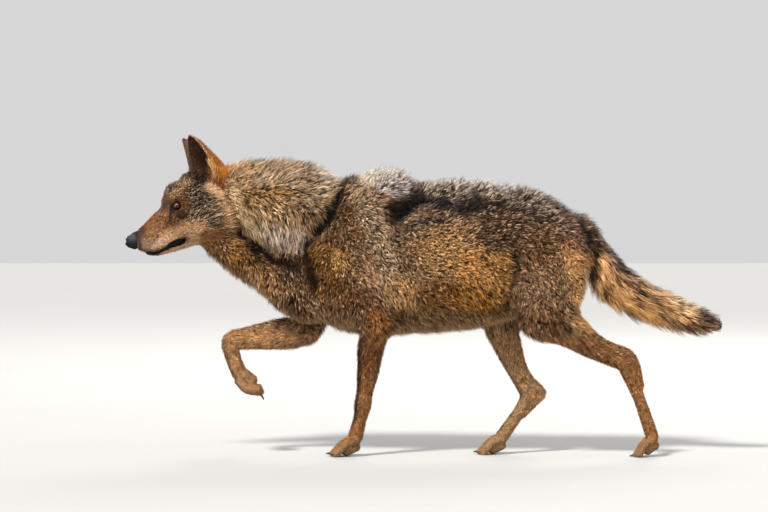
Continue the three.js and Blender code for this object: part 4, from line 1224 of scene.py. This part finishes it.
# the skin is darker than the coat on it, but for the lips, which have none
skin_tint = [np.where(grizzle[:, None] < 0.02, colour, colour * 0.4)]
for side, (verts, faces) in ears.items():
    inner = ear_places(verts)[2]
    back = np.where(vertex_normals(verts, faces)[:, 1:2] * side < 0.1, rgb(62, 46, 38), rgb(130, 76, 34))
    # inside the cup the skin is dark brown, partly its own colour and partly painted shade in the hollow
    skin_tint.append(np.where(inner[:, None], rgb(58, 36, 26), back))
for verts, _, black in lids.values():
    tone, _ = markings_and_shading(verts, np.tile([-0.5, -0.8, 0.2], (len(verts), 1)))
    skin_tint.append(tone * 0.6 * (1 - black[:, None]) + rgb(17, 13, 12) * black[:, None])
skin = dressed(build("skin", all_verts, all_faces, np.concatenate(skin_tint)), SKIN, "coat_grizzled")
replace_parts(skin, *[n for n in frame["nodes"] if not n.startswith(("claw", "eye", "nose"))])

for side, name in SIDES.items():
    verts, faces, tint = eyeball(side)
    eye = dressed(build(f"eyeball_{name}", verts, faces, tint), eye_material(), "eye")
    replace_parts(eye, f"eye_{name}")
verts, faces = skin_block((-764, -30, 500), (-694, 30, 574), NOSE_CELL, nose_field)
q = in_head(verts)
# painted sky light: a paler bluish grey laid on the top of the pad as a painted highlight, fading to the
# black leather below
sky_sheen = np.exp(-(((q[:, 0] + 731) / 13) ** 2) - ((q[:, 2] - 549) / 10) ** 2)
tint = tinted(rgb(10, 10, 12), rgb(74, 73, 82), sky_sheen)
# painted shade: the tint goes to near black inside the nostrils
tint = tint * eased((joined(NOSTRILS, q) - 0.6) / 1.6)[:, None] + rgb(3, 3, 3)
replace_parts(dressed(build("nose_pad", verts, faces, tint), nose_material(), "nose"), "nose")
horn = claw_material()
for name, obj in frame["nodes"].items():
    if name.startswith("claw"):
        obj.data.materials.clear()
        obj.data.materials.append(horn)


# ---------------------------------------------------------------- the coat

# For each kind of fur: spacing of the roots, width at the root, length in depths of the coat, least
# length, height of the tips in depths, how far tufts draw into locks, size of a lock, and tousle.
UNDERCOAT = {
    "body": (2.8, 2.4, 1.1, 12, 0.9, 0.5, 7, 0.5),
    "mane": (2.8, 2.5, 1.15, 15, 0.9, 0.55, 8, 0.4),
    "tail": (2.7, 2.4, 1.7, 22, 0.9, 0.5, 11, 0.22),
    "head": (1.85, 1.3, 1.1, 7, 0.8, 0.15, 3, 0.16),
    "face": (1.3, 1.0, 2.4, 4.0, 0.85, 0.3, 3.5, 0.14),
    "leg": (2.1, 1.5, 2.3, 7, 0.9, 0.3, 6, 0.16),
    "paw": (1.9, 1.2, 2.6, 5, 0.9, 0.2, 5, 0.14),
}
GUARD = {
    "body": (4.5, 2.0, 1.3, 17, 1.1, 0.55, 7, 0.5),
    "mane": (4.6, 2.1, 1.35, 21, 1.1, 0.6, 8, 0.4),
    "tail": (4.4, 2.0, 2.2, 34, 1.1, 0.6, 12, 0.22),
    "head": (2.8, 1.2, 1.3, 9, 0.95, 0.15, 3, 0.18),
}
EAR_HAIR = {"face": (2.5, 1.3, 2.6, 6.5, 0.85, 0.2, 4, 0.15)}
NO_FUR = (99, 1, 2, 8, 1, 0.2, 8, 0.2)
HAIR_PALE = rgb(214, 190, 162)
LARGEST_PIECE = 190000
EYE_BARE, LIPS_BARE, MOUTH_CORNER, NOSE_BARE = 15.0, 0.6, -598, -717
TUFT_ROOT, PATCH_HALF = 1.2, 0.0015  # a root's depth in the skin, and half a tuft's patch on the unwrap
TAIL_END = 741
CLUMP, WIDE_SWING, FINE_SWING = 13, 27, 10  # sizes of the noise that varies length and lie
UNDERCOAT_SEED, GUARD_SEED, EAR_SEED, AREA_SEEDS = 100, 120, 900, 40


class Fur:
    """What tufts grow from: a mesh with, at each vertex, the lie, depth, colour and kind of its coat."""

    def __init__(self, verts, faces, normals, depth, lie, colour, grizzle, kinds):
        self.verts, self.faces = verts, faces
        self.fields = dict(normal=normals, depth=depth, lie=lie, colour=colour, grizzle=grizzle,
                           kinds=kinds)

    def scatter(self, spacing, seed):
        """Roots spread evenly, spacing apart, with the mesh's fields at each."""
        r = np.random.default_rng(seed)
        tri = np.concatenate([self.faces[:, [0, 1, 2]], self.faces[:, [0, 2, 3]]])
        a, b, c = (self.verts[tri[:, i]] for i in range(3))
        share = np.linalg.norm(np.cross(b - a, c - a), axis=1) / 2 / spacing[tri].mean(1) ** 2
        order = np.lexsort((a[:, 1] // 6, a[:, 2] // 6, a[:, 0] // 6))
        tri, total = tri[order], np.cumsum(share[order])
        marks = np.arange(int(total[-1])) + r.random(int(total[-1]))
        tri = tri[np.searchsorted(total, np.minimum(marks, total[-1] - 1e-6))]
        w = r.random((len(tri), 2))
        w = np.where(w.sum(1)[:, None] > 1, 1 - w, w)
        w = np.c_[1 - w.sum(1), w]
        at = {k: np.einsum("ij...,ij->i...", f[tri], w) for k, f in self.fields.items()}
        at["root"] = np.einsum("ijk,ij->ik", self.verts[tri], w)
        at["normal"], at["lie"] = unit(at["normal"]), unit(at["lie"])
        return at


def bare(p, n):
    """True where no hair grows: eyes, nose, lips, and the soles of the feet."""
    q = in_head(p)
    eye = np.linalg.norm(q * [1, 0, 1] + np.abs(q) * [0, 1, 0] - EYE, axis=1)
    lips = outline_distance(LIPS, q[:, 0], q[:, 2])
    face = (eye < EYE_BARE) | ((lips < LIPS_BARE) & (q[:, 0] < MOUTH_CORNER)) | (q[:, 0] < NOSE_BARE)
    return face & (p[:, 0] < -480) | (p[:, 2] < 3) | ((p[:, 2] < 20) & (n[:, 2] < -0.5))


CELL_CODE = np.array([73856093, 19349663, 83492791])  # tells the cells of a lattice apart


def drawn_together(root, end, size, pull, seed):
    """Draws the ends of neighbouring tufts towards the one that leads their lock."""
    cell = np.floor(root / size[:, None] + np.random.default_rng(seed).random(3))
    _, leaders = np.unique(cell @ CELL_CODE, return_index=True)
    tree = kdtree.KDTree(len(leaders))
    for i, leader in enumerate(leaders):
        tree.insert(root[leader], i)
    tree.balance()
    lock = np.array([tree.find(p)[1] for p in root])
    lead = leaders[lock]
    aim = end[lead] + (root - root[lead]) * 0.25
    return (aim - end) * pull[:, None], lock


# How many tufts take after their lock; the shares of black, pale and black-tipped tufts where a coat
# is fully grizzled; how dark a black tuft is, and how black its tip and a dark tip are.
OF_LOCK, BLACK_SHARE, PALE_SHARE, TIPPED_SHARE = 0.8, 0.32, 0.36, 0.7
BLACK_TONE, BLACK_TIP, DARK_TIP = 0.09, 0.7, 0.95
BRIGHTEST = 0.9


def tuft_colours(base, grizzle, stand, lock, r):
    """Each tuft's colour, and how black its tip is. Grizzled coats mix pale, tipped and black locks."""
    count, locks = len(base), lock.max() + 1
    kind = np.where(r.random(count) < OF_LOCK, r.random(locks)[lock], r.random(count))
    tone = np.exp(r.normal(0, 0.12 + 0.12 * grizzle)) * (0.72 + 0.5 * r.random(locks)[lock])
    black, pale = kind < BLACK_SHARE * grizzle, kind > 1 - PALE_SHARE * grizzle
    tipped = np.where(pale, r.random(count) < 3 * (stand - 1.15), kind < TIPPED_SHARE * grizzle * stand**2)
    base = base * tone[:, None] * np.exp(r.normal(0, 0.03, (count, 3)))
    cream = base * 1.35 + HAIR_PALE * (tone * 0.78 * grizzle**1.5)[:, None]
    base = np.where(pale[:, None], cream, base * (1 + 0.1 * grizzle)[:, None])
    base = np.where(black[:, None], base * BLACK_TONE, base)
    tip = np.where(black, BLACK_TIP, np.where(tipped, DARK_TIP, 0.0))
    return base / np.maximum(base.max(1) / BRIGHTEST, 1)[:, None], tip


CORNERS = [(-1.0, -0.25), (1.0, -0.25), (0.0, 0.55)]
STRAIGHT = np.array([[0, 2, 1], [0, 1, 3], [1, 2, 3], [2, 0, 3]])
BENT = np.array([[0, 2, 1], [0, 1, 4], [0, 4, 3], [1, 2, 5], [1, 5, 4], [2, 0, 3], [2, 3, 5],
                 [3, 4, 6], [4, 5, 6], [5, 3, 6]])


def tufts(name, slot, at, length, height, width, pull, size, bent, uv, seed):
    """Builds one piece of coat: thin three-sided tufts that taper to a point, straight or bent over."""
    r = np.random.default_rng(seed)
    root, normal, lying = at["root"], at["normal"], at["lie"]
    count = len(root)
    lying = unit(lying - normal * np.einsum("ij,ij->i", lying, normal)[:, None])
    side = np.cross(normal, lying)
    lying = unit(lying + side * (at["swing"] + at["stray"] * r.normal(0, 1, count))[:, None])
    side = np.cross(normal, lying)
    length = length * np.clip(r.normal(1.0, 0.15, count), 0.6, 1.4)
    lift = np.arcsin(np.clip(height * np.clip(r.normal(1, 0.28, count), 0.4, 1.6) / length, 0.06, 0.94))
    rise = (1.2, 0.75) if bent else (1.0, 1.0)
    first, second = (lying * np.cos(lift * k)[:, None] + normal * np.sin(lift * k)[:, None] for k in rise)
    middle = root + first * (length * 0.5)[:, None]
    end = middle + second * (length * 0.5)[:, None]
    shift, lock = drawn_together(root, end, size, np.minimum(pull * at["stand"], 0.8), seed + 1)
    middle, end = middle + shift * 0.35, end + shift
    over = np.maximum(np.einsum("ij,ij->i", end - root, normal) - 1.2 * at["depth"] * at["stand"] - 2, 0)
    end = end - normal * over[:, None]
    end[:, 0] = np.minimum(end[:, 0], TAIL_END + 4 * r.random(count))
    middle[:, 2], end[:, 2] = np.maximum(middle[:, 2], 1.5), np.maximum(end[:, 2], 1.0)
    start = root - normal * TUFT_ROOT
    half = (width * np.clip(r.normal(1, 0.2, count), 0.5, 1.5) / 2)[:, None]
    tint, black = tuft_colours(at["colour"], at["grizzle"], at["stand"], lock, r)
    ring = [side * u + normal * v for u, v in CORNERS]
    bend = [middle + half * 0.85 * c for c in ring] if bent else []
    verts = np.stack([start + half * c for c in ring] + bend + [end], 1)
    tilt = r.normal(0, 0.3, (lock.max() + 1, 3))[lock] + r.normal(0, 0.12, (count, 3))
    soft = unit((normal * 0.6 + tilt)[:, None] + np.stack(ring * (2 if bent else 1) + [second], 1) * 0.5)
    per = verts.shape[1]
    faces = ((BENT if bent else STRAIGHT)[None] + (np.arange(count) * per)[:, None, None]).reshape(-1, 3)
    place = [(u, v) for v in ((-1, 0) if bent else (-1,)) for u in (-1, 1, 0)] + [(0, 1)]
    spots = (uv[:, None] + np.array(place)[None] * PATCH_HALF).reshape(-1, 2)
    grow = np.tile([(v + 1) / 2 for _, v in place], count)
    piece = build(name, verts.reshape(-1, 3), faces, np.repeat(tint, per, 0),
                  soft.reshape(-1, 3), spots, grow, np.repeat(black, per))
    return dressed(piece, HAIR, slot)


CORE_X = [-740, -620, -400, 0, 300, 420, 520, 760]
CORE_Z = [535, 600, 580, 500, 520, 540, 405, 330]


def unwrap(p, upright):
    """Places round and along a part, in the unit square: an unwrap of the skin's own shape."""
    def around(y, x):
        return np.arctan2(y, x) / (2 * math.pi) + 0.5

    along = (p - p.min(0)) / (p.max(0) - p.min(0))
    if upright:
        column = np.digitize(p[:, 0], [-330, 0, 330])
        centre = np.array([p[column == k, :2].mean(0) if (column == k).any() else (0, 0) for k in range(4)])
        angle = around(p[:, 1] - centre[column, 1], p[:, 0] - centre[column, 0])
        return np.stack([(column + 0.02 + 0.96 * angle) / 4, 0.01 + 0.98 * along[:, 2]], 1)
    angle = around(p[:, 1], p[:, 2] - np.interp(p[:, 0], CORE_X, CORE_Z))
    return np.stack([0.01 + 0.98 * along[:, 0], 0.01 + 0.98 * angle], 1)


def coat(name, slot, fur, table, bent, seed, upright=False):
    """Grows one layer of a part's coat, in pieces that are each small enough."""
    rows = np.array([table.get(k, NO_FUR) for k in KINDS])
    kinds = fur.fields["kinds"]
    spacing = 1 / np.maximum(kinds @ (1 / rows[:, 0]), 1e-3)
    at = fur.scatter(spacing, seed)
    keep = ~bare(at["root"], at["normal"])
    at = {k: v[keep] for k, v in at.items()}
    p = at["root"]
    _, width, factor, least, rise, pull, size, tousle = (at["kinds"] @ rows).T
    longer, stand = lengthened(p)
    clump = noise(p, CLUMP, 7)
    length = np.maximum(at["depth"] * factor, least) * longer * (0.85 + 0.3 * clump)
    height = at["depth"] * rise * stand * (0.82 + 0.36 * clump)
    at["stand"] = stand
    at["stray"] = 0.08 + 0.32 * tousle
    at["swing"] = tousle * (3.0 * (noise(p, WIDE_SWING, 8) - 0.5) + 1.8 * (noise(p, FINE_SWING, 9) - 0.5))
    uv = unwrap(p, upright)
    pieces = math.ceil(len(p) * len(BENT if bent else STRAIGHT) / LARGEST_PIECE)
    part = np.argsort(np.argsort(p[:, 2 if upright else 0])) * pieces // len(p)
    for k in range(pieces):
        m = part == k
        label = f"{name}_{k + 1}" if pieces > 1 else name
        tufts(label, slot, {key: v[m] for key, v in at.items()}, length[m], height[m], width[m], pull[m],
              size[m], bent, uv[m], seed + 3 * k + 1)


# Parts of the coat: name, kind of fur, from x, to x, slot, and whether it has guard hair.
AREAS = [
    ("mane", "mane", -FAR, FAR, "coat_grizzled", True),
    ("shoulder", "body", -FAR, -60, "coat_grizzled", True),
    ("flank", "body", -60, 215, "coat_grizzled", True),
    ("rump", "body", 215, FAR, "coat_dark", True),
    ("tail", "tail", -FAR, FAR, "coat_tawny", True),
    ("cheeks", "head", -FAR, FAR, "coat_dark", True),
    ("face", "face", -FAR, FAR, "coat_dark", False),
    ("forelegs", "leg", -FAR, 0, "coat_tawny", False),
    ("hindlegs", "leg", 0, FAR, "coat_tawny", False),
    ("paws", "paw", -FAR, FAR, "coat_tawny", False),
]
x = skin_verts[:, 0]
for number, (name, kind, start, end, slot, guarded) in enumerate(AREAS):
    within = (kinds.argmax(1) == KINDS.index(kind)) & (x >= start) & (x < end)
    faces = skin_faces[within[skin_faces[:, 0]]]
    fur = Fur(skin_verts, faces, skin_normals, depth, lie, colour, grizzle, kinds)
    upright = kind in ("leg", "paw")
    coat(f"undercoat_{name}", slot, fur, UNDERCOAT, False, UNDERCOAT_SEED + AREA_SEEDS * number, upright)
    if guarded:
        coat(f"guard_hair_{name}", slot, fur, GUARD, True, GUARD_SEED + AREA_SEEDS * number, upright)


# ---------------------------------------------------------------- hair of the ears

for side, (verts, faces) in ears.items():
    normals = vertex_normals(verts, faces)
    ring, turn, inner = ear_places(verts)
    t = ring / ring.max()
    theta = np.where(inner, 2 * EAR_STEPS - 1 - turn, turn) / (EAR_STEPS - 1) * 2 - 1
    rim = eased((np.abs(theta) - 0.9) / 0.08)
    lock = eased((theta - 0.84) / 0.1) * eased((t - 0.1) / 0.1) * eased((0.46 - t) / 0.12)
    up = unit(np.array([-0.3, 0.25 * side, 1.0]))
    outward = unit(np.cross([0, 0, 1.0], EAR_FACING)) * [1, side, 1]
    lying = unit(up + outward * (theta * 0.45 * np.where(inner, 1, -0.2))[:, None])
    # inside the cup the fur is dark brown, partly its own colour and partly painted shade in the hollow
    tone = np.where(inner[:, None], rgb(92, 62, 45), rgb(212, 137, 62))
    edge = np.where(theta[:, None] < 0, rgb(104, 80, 68), rgb(222, 186, 142))
    for shade, mask in [
        (rgb(104, 74, 58), eased(-normals[:, 1] * side / 0.3) * ~inner),
        (rgb(116, 80, 52), eased((t - 0.4) / 0.35) * ~inner),
        (rgb(132, 94, 62), eased((noise(verts, 8, 4) - 0.5) / 0.15) * inner),
        (edge, rim * 0.8),
        (rgb(214, 176, 128), eased((0.22 - t) / 0.1) * inner * (np.abs(theta) < 0.6)),
        (rgb(250, 196, 122), lock * 0.9),
    ]:
        tone = tinted(tone, shade, mask)
    deep = np.where(inner, 2.0, 3.0) + 9 * eased((0.35 - t) / 0.35) * ~inner + 7 * lock
    kind = np.tile(np.eye(len(KINDS))[FACE], (len(verts), 1))
    fur = Fur(verts, faces, normals, deep, lying, tone, np.where(inner, 0.1, 0.25), kind)
    coat(f"ear_hair_{SIDES[side]}", "coat_ginger", fur, EAR_HAIR, False, EAR_SEED + 20 * side, True)
